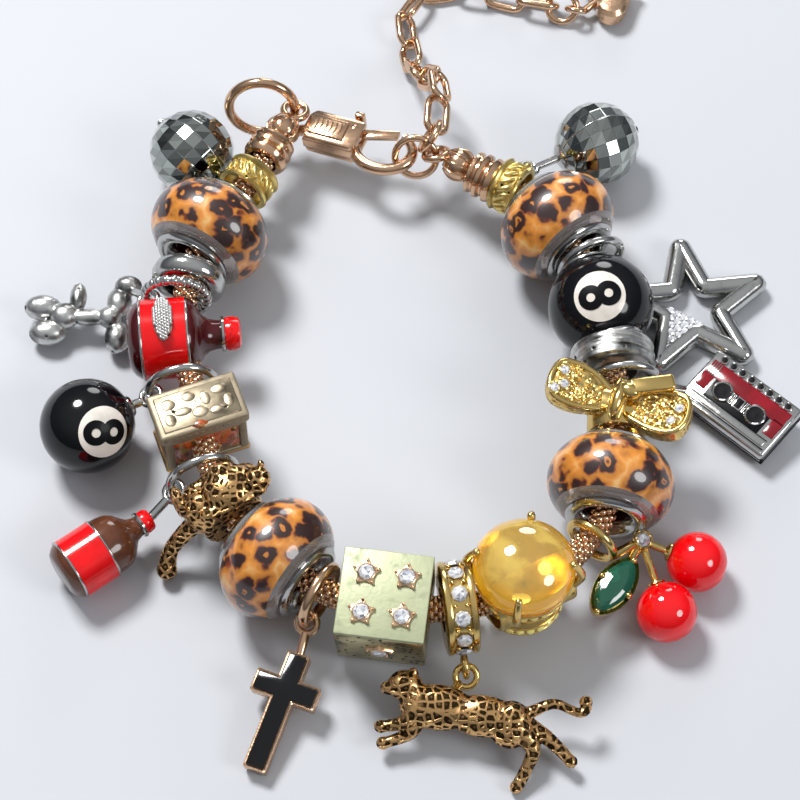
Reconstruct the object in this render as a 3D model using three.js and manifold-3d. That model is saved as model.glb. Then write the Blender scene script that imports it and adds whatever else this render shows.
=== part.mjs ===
// Charm bracelet laid flat on a surface, in millimetres, +Z up.
// Beads and hanging charms sit on a lumpy chain whose two ends meet at a lobster clasp,
// with a short extension chain and a heart at its end.
import * as THREE from 'three';
import { mergeVertices } from 'three/addons/utils/BufferGeometryUtils.js';
import Module from 'manifold-3d';

const wasm = await Module();
wasm.setup();

// Driving dimensions, in millimetres and degrees.
const CLEARANCE = 0.3; // between pieces that touch on the real bracelet
const ROUND_SIDES = 12; // flats round a bead
const WIRE_SIDES = 5; // flats round a wire
const LINK_STEPS = 12; // straight steps round a small ring
const FINENESS = 0.1; // edges shorter than this are merged where solids join
const LUMPY = 0.3; // the same, for cast figures and links

const CHAIN = { radius: 1.5, sides: 8, steps: 34 };
const BORE_RADIUS = 2.45; // hole of a bead, an easy slide over the chain
const LEOPARD = { radius: 7, length: 9.5, rimRadius: 4.2, rimDepth: 0.8, shell: 0.85, printLength: 7.6 };
const STOPPER_1 = { radius: 4.3, length: 2.6 };
const STOPPER_2 = { radius: 4.7, length: 3.2, groove: 0.35 };
const BIG_BOTTLE = { radius: 4.4, length: 12.6, neck: 1.7, cap: 1.55, label: 5.2, plaque: 5.4 };
const SMALL_BOTTLE = { radius: 3.4, length: 11.6, neck: 1.2, cap: 1.0, label: 4.2 };
const HOOP = { radius: 3.7, wire: 0.5, outward: 1.1 };
const BEADED_BAIL = { radius: 3.5, wire: 0.5, outward: 1.0 };
const EYE = { radius: 1.15, wire: 0.36 };
const STEM = 0.5; // radius of the stem between a charm and its eye
const BALL_CHARM = { radius: 5.3, disc: 3.0, discRise: 0.15, discLean: 38 };
const BALL_BEAD = { radius: 6, length: 10.6, disc: 3.0, discRise: 0.15, discLean: 6 };
const FACETED = { radius: 5, around: 12, rows: 8, cap: 1.5 };
const ROPE_BAIL = { radius: 3.25, length: 3, lip: 0.7, eye: { radius: 0.95, wire: 0.33 } };
const BOX = { along: 5.2, across: 9.4, height: 8, lid: 1.7, lip: 0.35, panelInset: 0.4, twist: 7 };
const CAT = { length: 5.6, radius: 3.6 };
const ROSE_BAIL = { radius: 3.3, wire: 0.6, outward: 0.7 };
const CROSS = { length: 13.2, span: 7.2, bar: 2.5, depth: 1.9, armAt: 0.31, inlay: 1.4, inlayDepth: 0.5 };
const DICE = { side: 9.5, bevel: 0.35, star: 1.75, starRise: 0.3, stone: 0.75, pitch: 4.3, roll: 10 };
// The spacer's eye points outward and eyeLean degrees down.
const SPACER = {
  radius: 4.7,
  length: 3.4,
  stones: 11,
  stone: 0.85,
  stoneRise: 0.45,
  rim: 0.35,
  eyeLean: 32,
};
const CITRINE = { radius: 5.5, dome: 4.4, seat: 2.8, basket: 4.9, prong: 0.5, inward: 1.0, sleeve: 2.85 };
const CHERRY = { radius: 3.3, stem: 0.42, hoop: 2.7, wire: 0.5, bezel: 1.0 };
const LEAF = { length: 6.6, width: 3.1, depth: 1.5, rim: 0.45 };
const BOW = {
  loop: 2.5,
  wire: 1.15,
  knot: 1.9,
  span: 4.7,
  depth: 2.2,
  core: 3.25,
  length: 4.8,
  tail: 5.2,
  twist: -17,
};
const STAR = { radius: 9.6, inner: 0.45, bar: 1.35, depth: 2.6, bevel: 0.45 };
const TAPE = {
  length: 12,
  width: 7.4,
  depth: 2.6,
  reel: 1.3,
  pitch: 4.6,
  window: 1.9,
  stud: 0.55,
  studs: 5,
};
const CAP = { radius: 2.7, length: 6.2, ball: 1.9, eye: 1.35, eyeWire: 0.45 };
const CLASP_RING = { radius: 3.9, wire: 0.6, tailAngle: -33 };
const LOBSTER = {
  neck: 2.45,
  length: 7,
  width: 4.2,
  depth: 3,
  hookX: 3.52,
  hookY: 2.8,
  wire: 0.72,
  slot: 1.3,
  plate: 0.3,
  yaw: -22,
  pitch: -5,
  tipAngle: 62,
};
const LEVER = {
  depth: 0.9,
  width: 1.0,
  pin: 0.4,
  pinGap: 0.15,
  tipGap: 0.65, // so the tip passes the hook's end as the lever turns
  fin: 2.0,
  finAt: 1.75,
  slotBack: 2.6,
  slotDepth: 2.6,
};
const JUMP = { radius: 2.45, wire: 0.42, tilt: 60, upperAngle: 44 };
const SMALL_JUMP = { radius: 1.9, wire: 0.42 };
const LINK = { length: 5.6, width: 3.4, wire: 0.45, steps: 10, sides: 5, roll: 45 };
const END_RING = { radius: 1.8, wire: 0.42 };
const HEART = { width: 7.2, height: 7, depth: 3.2 };

const CHAIN_HEIGHT = LEOPARD.radius; // the largest beads rest on the surface and carry the chain

// The chain's route seen from above, from the left end cap round to the right one.
const CHAIN_ROUTE = [
  { x: -14.9, y: 30.3 },
  { x: -17.0, y: 26.1 },
  { x: -22.1, y: 17.8 },
  { x: -24.1, y: 11.0 },
  { x: -24.1, y: 4.2 },
  { x: -22.0, y: -7.2 },
  { x: -20.1, y: -14.1 },
  { x: -17.2, y: -19.6 },
  { x: -12.2, y: -24.4 },
  { x: -7.2, y: -27.9 },
  { x: -1.0, y: -29.4 },
  { x: 6.0, y: -29.4 },
  { x: 13.8, y: -27.2 },
  { x: 19.0, y: -22.8 },
  { x: 21.9, y: -18.4 },
  { x: 23.2, y: -12.6 },
  { x: 23.9, y: -5.3 },
  { x: 23.8, y: 0.4 },
  { x: 22.9, y: 7.3 },
  { x: 18.9, y: 17.8 },
  { x: 14.3, y: 23.3 },
  { x: 9.1, y: 26.3 },
];

// Each piece on the chain, from the chain's left end on: the bare chain before it and the
// length that it takes up, in millimetres.
const STRUNG = {
  ropeBail1: { gap: 4.2, length: ROPE_BAIL.length },
  leopard1: { gap: 1.95, length: LEOPARD.length },
  stopper1: { gap: 0.85, length: STOPPER_1.length },
  animalBail: { gap: 0.6, length: 2 * BEADED_BAIL.wire },
  bigBottle: { gap: 0.4, length: 2 * BIG_BOTTLE.radius },
  hoop1: { gap: 1.2, length: 2 * HOOP.wire },
  box: { gap: 1.65, length: BOX.along + 2 * BOX.lip },
  hoop2: { gap: 3.05, length: 2 * HOOP.wire },
  cat: { gap: 0.8, length: CAT.length },
  leopard2: { gap: 1.25, length: LEOPARD.length },
  roseBail: { gap: 0.85, length: 2 * ROSE_BAIL.wire },
  dice: { gap: 1.65, length: DICE.side },
  spacer: { gap: 1.25, length: SPACER.length },
  citrine: { gap: 0.5, length: 2 * CITRINE.radius },
  cherry: { gap: 3.2, length: 2 * CHERRY.wire },
  leopard3: { gap: 1.95, length: LEOPARD.length },
  bow: { gap: 1.35, length: BOW.length },
  tapeBail: { gap: 1.5, length: 2 * HOOP.wire },
  stopper2: { gap: 0.65, length: STOPPER_2.length },
  ballBead: { gap: 0.4, length: BALL_BEAD.length },
  starBail: { gap: 0.25, length: 2 * HOOP.wire },
  leopard4: { gap: 0.55, length: LEOPARD.length },
  ropeBail2: { gap: 1.25, length: ROPE_BAIL.length },
};

// The middle of each of these pieces along the chain.
const AT = {};
let chainUsed = 0;
for (const [name, { gap, length }] of Object.entries(STRUNG)) {
  AT[name] = chainUsed + gap + length / 2;
  chainUsed += gap + length;
}

// Where the hanging charms lie: x and y of the charm's origin, z where it doesn't follow from
// the charm's own size, its turns in degrees, and the place round its ring of the charm's eye
// (0 is outward, 90 up).
const PLACE = {
  ballCharm: { x: -34.6, y: -6.4, yaw: -20, eyeAngle: -18 },
  smallBottle: { x: -31.9, y: -20.6, yaw: 36, pitch: -2, lift: 0.4, eyeAngle: -25 },
  crossTop: { x: -10.6, y: -33.4, z: 3.6, eyeAngle: -38 },
  crossFoot: { x: -15.3, y: -45.6, lift: 0.1 },
  runningCat: { x: 5.4, y: -39.0, z: 4.25, yaw: -7, roll: 22 },
  cherryJoint: { x: 26.1, y: -20.4, z: 4.6, eyeAngle: -20 },
  cherry1: { x: 32.2, y: -22.2 },
  cherry2: { x: 28.6, y: -28.2 },
  leaf: { x: 22.9, y: -26.3, z: 5.6, yaw: 54, pitch: -6, roll: 14 },
  star: { x: 33.6, y: 11.3, yaw: 6, lift: 0.05, eyeAngle: -50 },
  tape: { x: 38.2, y: -2.2, yaw: -42, roll: 8, lift: 0.9, eyeAngle: -22 },
  animal: { x: -35.8, y: 9.4, z: 2.5, eyeAngle: -20 },
  facetedBall1: { x: -24.5, y: 30.8, eyeAngle: 55 },
  facetedBall2: { x: 23.2, y: 32.0, eyeAngle: 20 },
  heart: { x: 26.2, y: 56.6, yaw: 112, lift: 0.1 },
};

// The extension chain's route, from its third link to the heart's ring.
const EXTENSION_ROUTE = [
  { x: 2.2, y: 43.6, z: 3.4 },
  { x: 1.2, y: 48.6, z: 1.5 },
  { x: 0.9, y: 54.0, z: 1.4 },
  { x: 3.4, y: 57.4, z: 1.4 },
  { x: 8.5, y: 57.8, z: 1.4 },
  { x: 14.0, y: 56.4, z: 1.4 },
  { x: 18.0, y: 55.4, z: 1.6 },
];

const degrees = THREE.MathUtils.degToRad;
const vector = (x, y, z) => new THREE.Vector3(x, y, z);

// Finishes.
const FINISH = {
  roseGold: { color: 0xcc8055, roughness: 0.25, metalness: 1 },
  yellowGold: { color: 0xd9a640, roughness: 0.28, metalness: 1 },
  antiqueGold: { color: 0x96734b, roughness: 0.45, metalness: 1 },
  silver: { color: 0xbfbcb3, roughness: 0.25, metalness: 1 },
  clearResin: { color: 0xf2e6d8, roughness: 0.05, metalness: 0 },
  leopardPrint: { color: 0xe6963c, roughness: 0.35, metalness: 0 },
  mirrorGlass: { color: 0x50535a, roughness: 0.08, metalness: 0.9 },
  maroonEnamel: { color: 0x460810, roughness: 0.12, metalness: 0.1 },
  brownEnamel: { color: 0x785041, roughness: 0.2, metalness: 0 },
  blackEnamel: { color: 0x191920, roughness: 0.08, metalness: 0 },
  creamGold: { color: 0xcdb99b, roughness: 0.4, metalness: 0.8 },
  mintEnamel: { color: 0xbecda5, roughness: 0.3, metalness: 0.3 },
  yellowStone: { color: 0xe1be46, roughness: 0.05, metalness: 0 },
  redStone: { color: 0xd70514, roughness: 0.06, metalness: 0 },
  greenStone: { color: 0x0a503c, roughness: 0.08, metalness: 0 },
};
const materials = {};
for (const [name, finish] of Object.entries(FINISH)) {
  materials[name] = new THREE.MeshStandardMaterial(finish);
}

// Solids from three.js geometries, joined and cut.
function signedVolume(positions, triangles) {
  const a = new THREE.Vector3();
  const b = new THREE.Vector3();
  const c = new THREE.Vector3();
  let volume = 0;
  for (let i = 0; i < triangles.length; i += 3) {
    a.fromArray(positions, 3 * triangles[i]);
    b.fromArray(positions, 3 * triangles[i + 1]);
    c.fromArray(positions, 3 * triangles[i + 2]);
    volume += a.dot(b.cross(c)) / 6;
  }
  return volume;
}

function solid(geometry) {
  const bare = new THREE.BufferGeometry();
  bare.setAttribute('position', geometry.getAttribute('position').clone());
  if (geometry.index) {
    bare.setIndex(geometry.index.clone());
  }
  const merged = mergeVertices(bare, 1e-4);
  const positions = merged.getAttribute('position').array;
  const triangles = [];
  const index = merged.index.array;
  for (let i = 0; i < index.length; i += 3) {
    const [a, b, c] = [index[i], index[i + 1], index[i + 2]];
    if (a !== b && b !== c && c !== a) {
      triangles.push(a, b, c);
    }
  }
  if (signedVolume(positions, triangles) < 0) {
    for (let i = 0; i < triangles.length; i += 3) {
      [triangles[i], triangles[i + 1]] = [triangles[i + 1], triangles[i]];
    }
  }
  const mesh = new wasm.Mesh({
    numProp: 3,
    vertProperties: new Float32Array(positions),
    triVerts: new Uint32Array(triangles),
  });
  return new wasm.Manifold(mesh);
}

function geometryOf(body) {
  const mesh = body.getMesh();
  const geometry = new THREE.BufferGeometry();
  geometry.setAttribute('position', new THREE.BufferAttribute(new Float32Array(mesh.vertProperties), 3));
  geometry.setIndex(new THREE.BufferAttribute(new Uint32Array(mesh.triVerts), 1));
  geometry.computeVertexNormals();
  return geometry;
}

function join(...bodies) {
  return bodies.flat().reduce((sum, body) => sum.add(body));
}

function moved(body, matrix) {
  return body.transform(matrix.elements);
}

function shift(body, x, y, z) {
  return body.translate([x, y, z]);
}

// A turned shape about the X axis. Its profile lists [along X, radius] pairs.
function turned(profile, sides = ROUND_SIDES) {
  const points = profile.map(([x, r]) => new THREE.Vector2(r, x));
  const geometry = new THREE.LatheGeometry(points, sides);
  geometry.rotateZ(-Math.PI / 2);
  return solid(geometry);
}

// A turned shape with a hole right through: the profile is its outside, from low X to high X.
function turnedRing(outside, hole, sides = ROUND_SIDES) {
  const first = outside[0][0];
  const last = outside[outside.length - 1][0];
  return turned([[first, hole], ...outside, [last, hole], [first, hole]], sides);
}

// A ring about the X axis.
function ring(radius, wire, steps = LINK_STEPS, sides = WIRE_SIDES) {
  const geometry = new THREE.TorusGeometry(radius, wire, sides, steps);
  geometry.rotateY(Math.PI / 2);
  return solid(geometry);
}

function ball(x, y, z, radius, around = 8, rows = 5) {
  return shift(solid(new THREE.SphereGeometry(radius, around, rows)), x, y, z);
}

function egg(centre, radii, around = 8, rows = 5) {
  const geometry = new THREE.SphereGeometry(1, around, rows);
  geometry.scale(...radii);
  geometry.translate(...centre);
  return solid(geometry);
}

// A straight round bar from one point to another, which may taper.
function bar(from, to, radius, endRadius = radius, sides = 8) {
  const a = vector(...from);
  const b = vector(...to);
  const along = b.clone().sub(a);
  const geometry = new THREE.CylinderGeometry(endRadius, radius, along.length(), sides);
  const turn = new THREE.Quaternion().setFromUnitVectors(vector(0, 1, 0), along.clone().normalize());
  const middle = a.add(b).multiplyScalar(0.5);
  geometry.applyMatrix4(new THREE.Matrix4().compose(middle, turn, vector(1, 1, 1)));
  return solid(geometry);
}

// A limb of tapering bars with a round joint at each of its points [x, y, z, radius].
function limb(points, sides = 5) {
  const parts = points.map(([x, y, z, r]) => ball(x, y, z, r, sides, 3));
  for (let i = 1; i < points.length; i += 1) {
    const [a, b] = [points[i - 1], points[i]];
    parts.push(bar(a.slice(0, 3), b.slice(0, 3), a[3] * 0.97, b[3] * 0.97, sides));
  }
  return join(parts);
}

function block(x, y, z) {
  return solid(new THREE.BoxGeometry(x, y, z));
}

// A flat shape in the XY plane, centred on it in Z, with an optional bevel.
function plate(shape, depth, bevel = 0, steps = 6) {
  const geometry = new THREE.ExtrudeGeometry(shape, {
    depth: depth - 2 * bevel,
    bevelEnabled: bevel > 0,
    bevelThickness: bevel,
    bevelSize: bevel,
    bevelOffset: -bevel,
    bevelSegments: 1,
    curveSegments: steps,
  });
  geometry.translate(0, 0, bevel - depth / 2);
  return solid(geometry);
}

function polygon(points) {
  return new THREE.Shape(points.map(([x, y]) => new THREE.Vector2(x, y)));
}

function starShape(radius, innerShare, firstAngle = 90) {
  const points = [];
  for (let i = 0; i < 10; i += 1) {
    const r = i % 2 ? radius * innerShare : radius;
    const angle = degrees(firstAngle + 36 * i);
    points.push([r * Math.cos(angle), r * Math.sin(angle)]);
  }
  return polygon(points);
}

// A small round brilliant with eight facets and a flat table, its girdle at z = 0.
function brilliant(radius, rise, root) {
  const profile = [[-root, 0], [0, radius], [rise, radius * 0.6], [rise, 0]];
  return moved(turned(profile, 8), new THREE.Matrix4().makeRotationY(-Math.PI / 2));
}

// Frames. A frame on the chain has X along it, Y towards the middle of the loop and Z up.
const chainPoints = CHAIN_ROUTE.map(({ x, y }) => vector(x, y, CHAIN_HEIGHT));
const chainCurve = new THREE.CatmullRomCurve3(chainPoints, false, 'centripetal');
const chainLength = chainCurve.getLength();

function frame(point, yaw = 0, pitch = 0, roll = 0) {
  const turn = new THREE.Euler(degrees(roll), degrees(pitch), degrees(yaw), 'ZYX');
  const matrix = new THREE.Matrix4().makeRotationFromEuler(turn);
  return matrix.setPosition(point);
}

// The frame of a charm in the PLACE table, for a charm whose origin is this high when it lies.
function lying({ x, y, z, yaw, pitch, roll, lift = 0 }, height = 0) {
  return frame(vector(x, y, z ?? height + lift), yaw, pitch, roll);
}

function onChain(at, { twist = 0, roll = 0, outward = 0, up = 0 } = {}) {
  const share = at / chainLength;
  const point = chainCurve.getPointAt(share);
  const tangent = chainCurve.getTangentAt(share);
  const yaw = THREE.MathUtils.radToDeg(Math.atan2(tangent.y, tangent.x));
  const inward = vector(-tangent.y, tangent.x, 0);
  point.addScaledVector(inward, -outward);
  point.z += up;
  return frame(point, yaw + twist, 0, roll);
}

// A frame whose X axis points from one place to another.
function towards(from, to, roll = 0) {
  const along = to.clone().sub(from).normalize();
  const yaw = THREE.MathUtils.radToDeg(Math.atan2(along.y, along.x));
  const pitch = -THREE.MathUtils.radToDeg(Math.asin(along.z));
  return frame(from, yaw, pitch, roll);
}

// The middle of a ring's wire at an angle round it, 0 being outward and 90 up, with the
// way the wire runs there. The ring lies across the X axis of its frame.
function onRing(ringFrame, radius, angle) {
  const a = degrees(angle);
  const point = vector(0, -radius * Math.cos(a), radius * Math.sin(a)).applyMatrix4(ringFrame);
  const way = vector(0, Math.sin(a), Math.cos(a)).transformDirection(ringFrame);
  return { point, way };
}

// A small ring threaded on a wire: its centre is on the wire and it lies across it.
function eyeOn(place, size = EYE) {
  const turn = new THREE.Quaternion().setFromUnitVectors(vector(1, 0, 0), place.way);
  const matrix = new THREE.Matrix4().compose(place.point, turn, vector(1, 1, 1));
  return moved(ring(size.radius, size.wire, 10, 5), matrix);
}

function intoFrame(body, matrix) {
  return moved(body, matrix.clone().invert());
}

const bracelet = new THREE.Group();

function add(name, body, finish, matrix = new THREE.Matrix4(), fineness = FINENESS) {
  const mesh = new THREE.Mesh(geometryOf(body.asOriginal().simplify(fineness)), materials[finish]);
  mesh.name = name;
  matrix.decompose(mesh.position, mesh.quaternion, mesh.scale);
  bracelet.add(mesh);
  return mesh;
}

// The lumpy chain that carries the beads: a tube along its route.
function snakeChain() {
  const outline = [];
  for (let i = 0; i < CHAIN.sides; i += 1) {
    const a = (2 * Math.PI * i) / CHAIN.sides;
    outline.push([CHAIN.radius * Math.cos(a), CHAIN.radius * Math.sin(a)]);
  }
  const options = { steps: CHAIN.steps, extrudePath: chainCurve, bevelEnabled: false };
  add('snake_chain', solid(new THREE.ExtrudeGeometry(polygon(outline), options)), 'roseGold');
}

// Radius of a bulging bead at a place along it, for its largest radius and its end radius.
function bulge(x, halfLength, radius, endRadius) {
  const fall = 1 - (endRadius / radius) ** 2;
  return radius * Math.sqrt(1 - fall * (x / halfLength) ** 2);
}

// A clear bead over a printed sleeve that two metal rims hold.
function leopardBead(number, at) {
  const place = onChain(at);
  const { radius, length, rimRadius, rimDepth, shell, printLength } = LEOPARD;
  const half = printLength / 2;
  const shares = [-1, -0.55, 0, 0.55, 1];
  const printRadius = radius - shell;
  const gap = CLEARANCE / 2;
  const print = shares.map((s) => [s * half, bulge(s * half, half, printRadius, rimRadius)]);
  const rim = [
    [half + rimDepth * 0.6, rimRadius],
    [length / 2, rimRadius - 0.9],
  ];
  const otherRim = rim.map(([x, r]) => [-x, r]).reverse();
  const outside = [...otherRim, ...print, ...rim];
  add(`leopard_core_${number}`, turnedRing(outside, BORE_RADIUS), 'leopardPrint', place);
  const outer = shares.map((s) => [s * (half - gap), bulge(s * half, half, radius, rimRadius + shell)]);
  const inner = shares.map((s) => [s * (half - gap), bulge(s * half, half, printRadius, rimRadius) + gap]);
  const profile = [...outer, ...inner.reverse(), outer[0]];
  add(`leopard_bead_${number}`, turned(profile), 'clearResin', place);
}

// A domed silver ring that stops the beads from sliding.
function stopperOne() {
  const { radius, length } = STOPPER_1;
  const half = length / 2;
  const outside = [
    [-half, radius * 0.8],
    [-half * 0.5, radius * 0.97],
    [0, radius],
    [half * 0.5, radius * 0.97],
    [half, radius * 0.8],
  ];
  add('stopper_ring_1', turnedRing(outside, BORE_RADIUS), 'silver', onChain(AT.stopper1));
}

// An antique silver ring with three grooves.
function stopperTwo() {
  const { radius, length, groove } = STOPPER_2;
  const half = length / 2;
  const outside = [[-half, radius * 0.92]];
  const ridges = 3;
  for (let i = 0; i < ridges; i += 1) {
    const x = -half + (length * (i + 0.5)) / ridges;
    const step = length / ridges / 2;
    outside.push([x - step * 0.5, radius], [x + step * 0.5, radius]);
    if (i < ridges - 1) {
      outside.push([x + step, radius - groove]);
    }
  }
  outside.push([half, radius * 0.92]);
  add('stopper_ring_2', turnedRing(outside, BORE_RADIUS), 'silver', onChain(AT.stopper2));
}

// A plain bottle outline along X, from its base to its cap.
function bottleProfile({ radius, length, neck, cap, label }) {
  const end = length / 2;
  const rise = 0.18;
  return [
    [-end, 0],
    [-end, radius * 0.72],
    [-end + radius * 0.28, radius * 0.96],
    [-end + radius * 0.34, radius + rise],
    [-end + radius * 0.34 + label, radius + rise],
    [-end + radius * 0.4 + label, radius * 0.97],
    [end - 3.6 * cap, radius * 0.82],
    [end - 2.5 * cap, neck],
    [end - 1.2 * cap, neck * 0.9],
    [end - 1.2 * cap, cap * 1.12],
    [end, cap * 0.9],
    [end, 0],
  ];
}

// A red bottle that the chain passes through crosswise, with an oval plaque on its label.
function bigBottle() {
  const crosswise = new THREE.Matrix4().makeRotationZ(Math.PI / 2);
  const { radius, plaque, label, length } = BIG_BOTTLE;
  const labelMiddle = -length / 2 + radius * 0.34 + label / 2;
  const body = moved(turned(bottleProfile(BIG_BOTTLE)), crosswise);
  const medal = egg([0, labelMiddle, radius + 0.1], [plaque / 2, 1.1, 0.55]);
  const hole = bar([-radius - 1, 0, 0], [radius + 1, 0, 0], BORE_RADIUS, BORE_RADIUS, 10);
  add('bottle_bead', join(body, medal).subtract(hole), 'maroonEnamel', onChain(AT.bigBottle));
}

// A ring round the chain that a charm hangs from. It hangs outward of the chain.
function hangingRing(name, at, size, finish) {
  const place = onChain(at, { outward: size.outward });
  add(name, ring(size.radius, size.wire), finish, place);
  return place;
}

// A charm's solid with its threaded eye and the stem between them, in the charm's own frame.
function hung(parts, place, eyeSize, matrix, stemTo, stemRadius) {
  const eye = intoFrame(eyeOn(place, eyeSize), matrix);
  const end = vector(...stemTo);
  const along = end.clone().applyMatrix4(matrix).sub(place.point);
  along.addScaledVector(place.way, -along.dot(place.way)).normalize();
  const start = place.point.clone().addScaledVector(along, eyeSize.radius);
  start.applyMatrix4(matrix.clone().invert());
  return join(parts, eye, bar(start.toArray(), end.toArray(), stemRadius, stemRadius, 6));
}

// A black number ball on its hoop.
function ballCharm() {
  const hoop = hangingRing('hoop_1', AT.hoop1, HOOP, 'silver');
  const place = onRing(hoop, HOOP.radius, PLACE.ballCharm.eyeAngle);
  const { radius, disc, discRise, discLean } = BALL_CHARM;
  const matrix = lying(PLACE.ballCharm, radius);
  const body = ball(0, 0, 0, radius, 12, 8);
  const lean = degrees(discLean);
  const facing = [Math.sin(lean), 0, Math.cos(lean)];
  const discEnd = facing.map((v) => v * (radius + discRise));
  const discStart = facing.map((v) => v * radius * 0.7);
  const number = bar(discStart, discEnd, disc, disc * 0.93, 12);
  const eyeSide = place.point.clone().applyMatrix4(matrix.clone().invert());
  const stemEnd = eyeSide.normalize().multiplyScalar(radius * 0.9).toArray();
  const charm = hung([body, number], place, EYE, matrix, stemEnd, STEM);
  add('eight_ball_charm', charm, 'blackEnamel', matrix);
}

// A black number ball threaded on the chain, with a collar at its far end.
function ballBead() {
  const { radius, length, disc, discRise, discLean } = BALL_BEAD;
  const half = length / 2;
  const outside = [];
  for (const share of [-1, -0.66, -0.33, 0, 0.33, 0.66, 1]) {
    const x = share * half;
    outside.push([x, Math.sqrt(radius ** 2 - x ** 2)]);
  }
  const body = turnedRing(outside, BORE_RADIUS);
  const lean = degrees(discLean);
  const up = [0, -Math.sin(lean), Math.cos(lean)];
  const face = up.map((v) => v * (radius + discRise));
  const root = up.map((v) => v * radius * 0.75);
  const number = bar(root, face, disc, disc * 0.93, 12);
  add('eight_ball_bead', join(body, number), 'blackEnamel', onChain(AT.ballBead));
}

// A brown bottle hanging from the second hoop.
function smallBottle() {
  const hoop = hangingRing('hoop_2', AT.hoop2, HOOP, 'silver');
  const place = onRing(hoop, HOOP.radius, PLACE.smallBottle.eyeAngle);
  const matrix = lying(PLACE.smallBottle, SMALL_BOTTLE.radius);
  const body = turned(bottleProfile(SMALL_BOTTLE));
  const charm = hung([body], place, EYE, matrix, [SMALL_BOTTLE.length / 2 - 0.2, 0, 0], STEM);
  add('bottle_charm', charm, 'brownEnamel', matrix);
}

// A lidded box with a framed front panel and pins at its lid.
function boxBead() {
  const { along, across, height, lid, lip, panelInset, twist } = BOX;
  const body = block(along, across, height);
  const cover = shift(block(along + 2 * lip, across + 2 * lip, lid), 0, 0, height / 2 - lid / 2);
  const foot = shift(block(along + lip, across + lip, lid / 2), 0, 0, -height / 2 + lid / 4);
  const panel = block(1, across - 1.8, height - lid - 1.8);
  const recess = shift(panel, along / 2 + 0.5 - panelInset, 0, -lid / 2 + 0.2);
  const pins = [-1, 1].map((side) => {
    const pin = bar([0, 0, height / 2 - 0.5], [0, 0, height / 2 + 0.3], 0.45);
    return shift(pin, -along / 4, (side * across) / 3, 0);
  });
  const hole = bar([-along, 0, 0], [along, 0, 0], BORE_RADIUS, BORE_RADIUS, 10);
  const box = join(body, cover, foot, pins).subtract(recess).subtract(hole);
  add('box_bead', box, 'creamGold', onChain(AT.box, { twist }));
}

// A spotted cat curled round the chain, its tail hanging down outside the loop.
function catBead() {
  const { length, radius } = CAT;
  const half = length / 2;
  const sleeve = turned([[-half, 0], [-half, radius], [half, radius], [half, 0]], 10);
  const lumps = [
    egg([0, 0.6, radius - 0.4], [half * 0.95, 3.1, 1.9]),
    egg([-0.6, 2.9, 1.6], [2.1, 1.9, 2.1]),
    egg([0.0, -2.9, 0.6], [2.4, 2.0, 2.9]),
    egg([0.2, 0.2, -radius + 0.4], [half * 0.9, 2.7, 1.3]),
    ball(0.9, 3.5, 4.1, 1.5, 8, 5),
    ball(1.3, 4.4, 5.0, 0.55, 6, 4),
    ball(-0.1, 4.5, 5.0, 0.55, 6, 4),
  ];
  const tail = limb([
    [0.2, -3.4, -0.6, 1.2],
    [0.2, -5.6, -2.4, 0.95],
    [0.4, -7.4, -4.2, 0.85],
    [1.6, -8.2, -5.4, 1.1],
  ]);
  const facing = new THREE.Matrix4().makeRotationZ(Math.PI / 2);
  const curl = shift(moved(ring(1.35, 0.5, 10, 5), facing), -1.2, -4.9, 2.6);
  const hole = bar([-length, 0, 0], [length, 0, 0], BORE_RADIUS, BORE_RADIUS, 10);
  const cat = join(sleeve, lumps, tail, curl).subtract(hole);
  add('cat_bead', cat, 'antiqueGold', onChain(AT.cat), LUMPY);
}

// A flat cross with a sunk inlay, hanging from its own ring.
function crossCharm() {
  const bail = hangingRing('cross_bail', AT.roseBail, ROSE_BAIL, 'roseGold');
  const place = onRing(bail, ROSE_BAIL.radius, PLACE.crossTop.eyeAngle);
  const { length, span, bar: width, depth, armAt, inlay, inlayDepth } = CROSS;
  const { crossTop, crossFoot } = PLACE;
  const foot = vector(crossFoot.x, crossFoot.y, depth / 2 + crossFoot.lift);
  const matrix = towards(vector(crossTop.x, crossTop.y, crossTop.z), foot);
  const outline = (w, trim) => polygon([
    [trim, -w / 2],
    [armAt * length - w / 2, -w / 2],
    [armAt * length - w / 2, -span / 2 + trim],
    [armAt * length + w / 2, -span / 2 + trim],
    [armAt * length + w / 2, -w / 2],
    [length - trim, -w / 2],
    [length - trim, w / 2],
    [armAt * length + w / 2, w / 2],
    [armAt * length + w / 2, span / 2 - trim],
    [armAt * length - w / 2, span / 2 - trim],
    [armAt * length - w / 2, w / 2],
    [trim, w / 2],
  ]);
  const gap = CLEARANCE / 2;
  const rim = (width - inlay) / 2;
  const sunk = shift(plate(outline(inlay + 2 * gap, rim - gap), 2 * inlayDepth), 0, 0, depth / 2);
  const body = plate(outline(width, 0), depth, 0.25).subtract(sunk);
  const charm = hung([body], place, EYE, matrix, [0.4, 0, 0], STEM);
  add('cross_charm', charm, 'roseGold', matrix);
  const filling = shift(plate(outline(inlay, rim), inlayDepth - gap), 0, 0, (depth - inlayDepth + gap) / 2);
  add('cross_inlay', filling, 'blackEnamel', matrix);
}

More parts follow.
